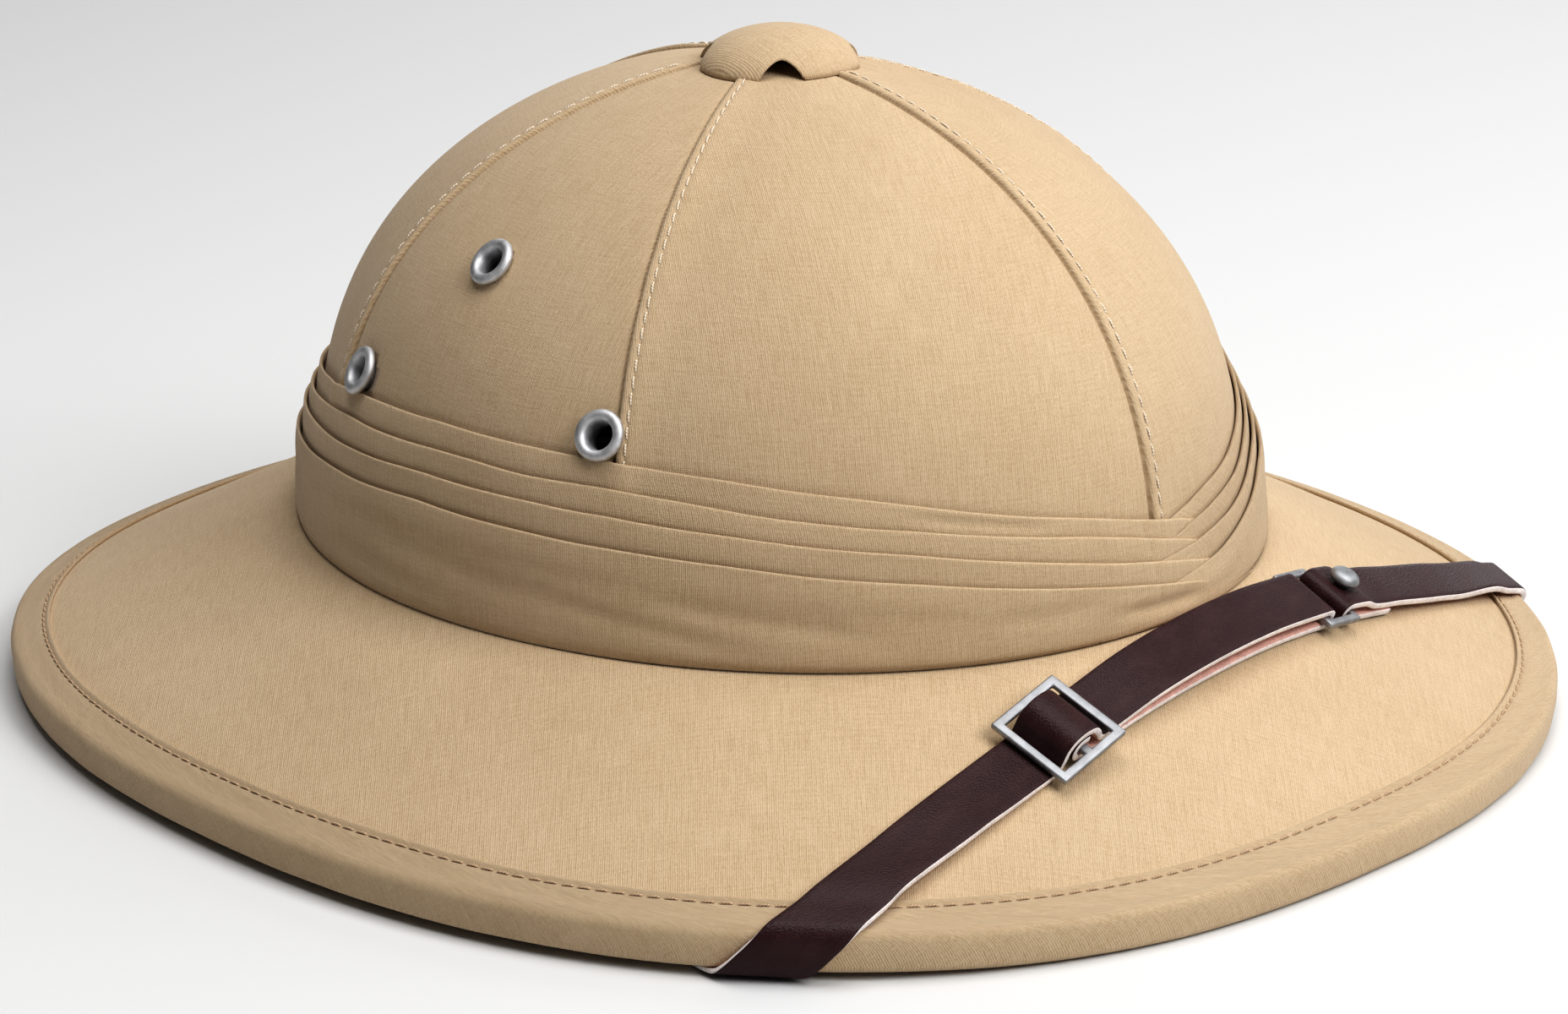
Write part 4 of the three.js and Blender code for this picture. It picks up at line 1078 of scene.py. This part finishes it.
stamped_frame("buckle_frame", BUCKLE, "slide_buckle")
stamped_frame("ring_frame", RING, "strap_ring")


# A mushroom-headed nickel stud closes the short strap's fold, pushed through a slit in the leather.
# A flat steel rivet, set from inside, holds each strap end to the underside of the brim.

STUD_SECTION = Sizes(
    radius=[0.02, 1.6, 1.6, 2, 2.8, 3.2, 3.3, 3.2, 2.9, 2.35, 1.6, 0.8, 0.02],
    height=[0, 0, 0.8, 1, 1.25, 1.6, 2, 2.5, 3, 3.4, 3.68, 3.78, 3.8],
)
STUD_PLACE = Sizes(along=2.6, height=5.4)
TURNED_STEPS = 48
RIVET_SECTION = Sizes(
    radius=[0.02, 4.6, 4.9, 5, 4.8, 4.2, 3, 1.5, 0.02],
    height=[0, 0, 0.08, 0.35, 0.7, 1, 1.25, 1.42, 1.46],
)
RIVET_STEEL = (0.5, 0.5, 0.5, 1)

point, _, _, up = lane_axes(RING.along + ring_reach + STUD_PLACE.along)
middle = point + up * STUD_PLACE.height
stud = turned_piece("stud_head", STUD_SECTION, TURNED_STEPS, middle, up, nickel)
seat(stud, "strap_stud")
rivet_steel = worked_metal("rivet_steel", RIVET_STEEL, 0.33, 0.00003)
for side, end in (("right", LONG_END), ("left", SHORT_END)):
    at = np.array([*end.at, 0.0])
    _, _, up = surface_axes(at, np.array([1.0, 0.0, 0.0]), under_height)
    middle = raised(at, under_height) - up * (STRAP.leather / 2 + STRAP.gap)
    rivet = turned_piece(f"strap_rivet_{side}", RIVET_SECTION, TURNED_STEPS, middle, -up, rivet_steel)
    seat(rivet, f"strap_anchor_{side}")


# The hat stands on a pale matt table that runs on to the horizon, in a dim white room.
# Four soft lights stand round it: the front and the top ones do most, the other two fill the shade.

TABLE = Sizes(colour=(0.66, 0.66, 0.66, 1), reach=9000, height=-0.2)
ROOM_STRENGTH = 0.09
LIGHTS = [
    Sizes(name="front_light", at=(0.16, -1.38, 1.20), size=0.9, watts=17),
    Sizes(name="side_light", at=(1.30, -0.45, 0.85), size=0.9, watts=4.5),
    Sizes(name="top_light", at=(-0.05, -0.20, 1.80), size=1.3, watts=18.5),
    Sizes(name="back_light", at=(1.30, 1.15, 0.60), size=1.3, watts=6.5),
]
LIT_POINT = Vector((0, 0, 0.05))

table_finish, table_cut = new_finish("pale_table")
table_cut.show(Base_Color=TABLE.colour, Roughness=0.95, Specular_IOR_Level=0.1)
table_corners = around(np.array([45, 135, 225, 315]), TABLE.reach, TABLE.height)
piece_of("table", table_corners, [[3, 2, 1, 0]], finishes=[table_finish])

world = bpy.data.worlds.new("studio")
scene.world = world
world.use_nodes = True
room = world.node_tree.nodes["Background"]
room.inputs["Color"].default_value = (1.0, 1.0, 1.0, 1)
room.inputs["Strength"].default_value = ROOM_STRENGTH

for row in LIGHTS:
    lamp = bpy.data.lights.new(row.name, "AREA")
    lamp.size, lamp.energy = row.size, row.watts
    light = bpy.data.objects.new(row.name, lamp)
    light.location = row.at
    light.rotation_euler = (LIT_POINT - Vector(row.at)).to_track_quat("-Z", "Y").to_euler()
    scene.collection.objects.link(light)


# The camera stands where the photograph was taken from, in front of the wearer's right side and
# a little above the hat, with a long lens; the picture is developed with some contrast.

CAMERA = Sizes(at=(-0.5557, -0.6155, 0.3121), turn=-42.34, rise=18.5, roll=-0.925)
LENS = Sizes(focal=89.46, film=36)

lens = bpy.data.cameras.new("camera")
lens.lens, lens.sensor_width, lens.sensor_fit = LENS.focal, LENS.film, "HORIZONTAL"
camera = bpy.data.objects.new("camera", lens)
camera.matrix_world = Matrix.Translation(CAMERA.at)
for turn, axis in ((CAMERA.turn, "Z"), (90 - CAMERA.rise, "X"), (CAMERA.roll, "Z")):
    camera.matrix_world @= Matrix.Rotation(math.radians(turn), 4, axis)
scene.collection.objects.link(camera)
scene.camera = camera
scene.view_settings.view_transform = "Standard"
scene.view_settings.look = "High Contrast"
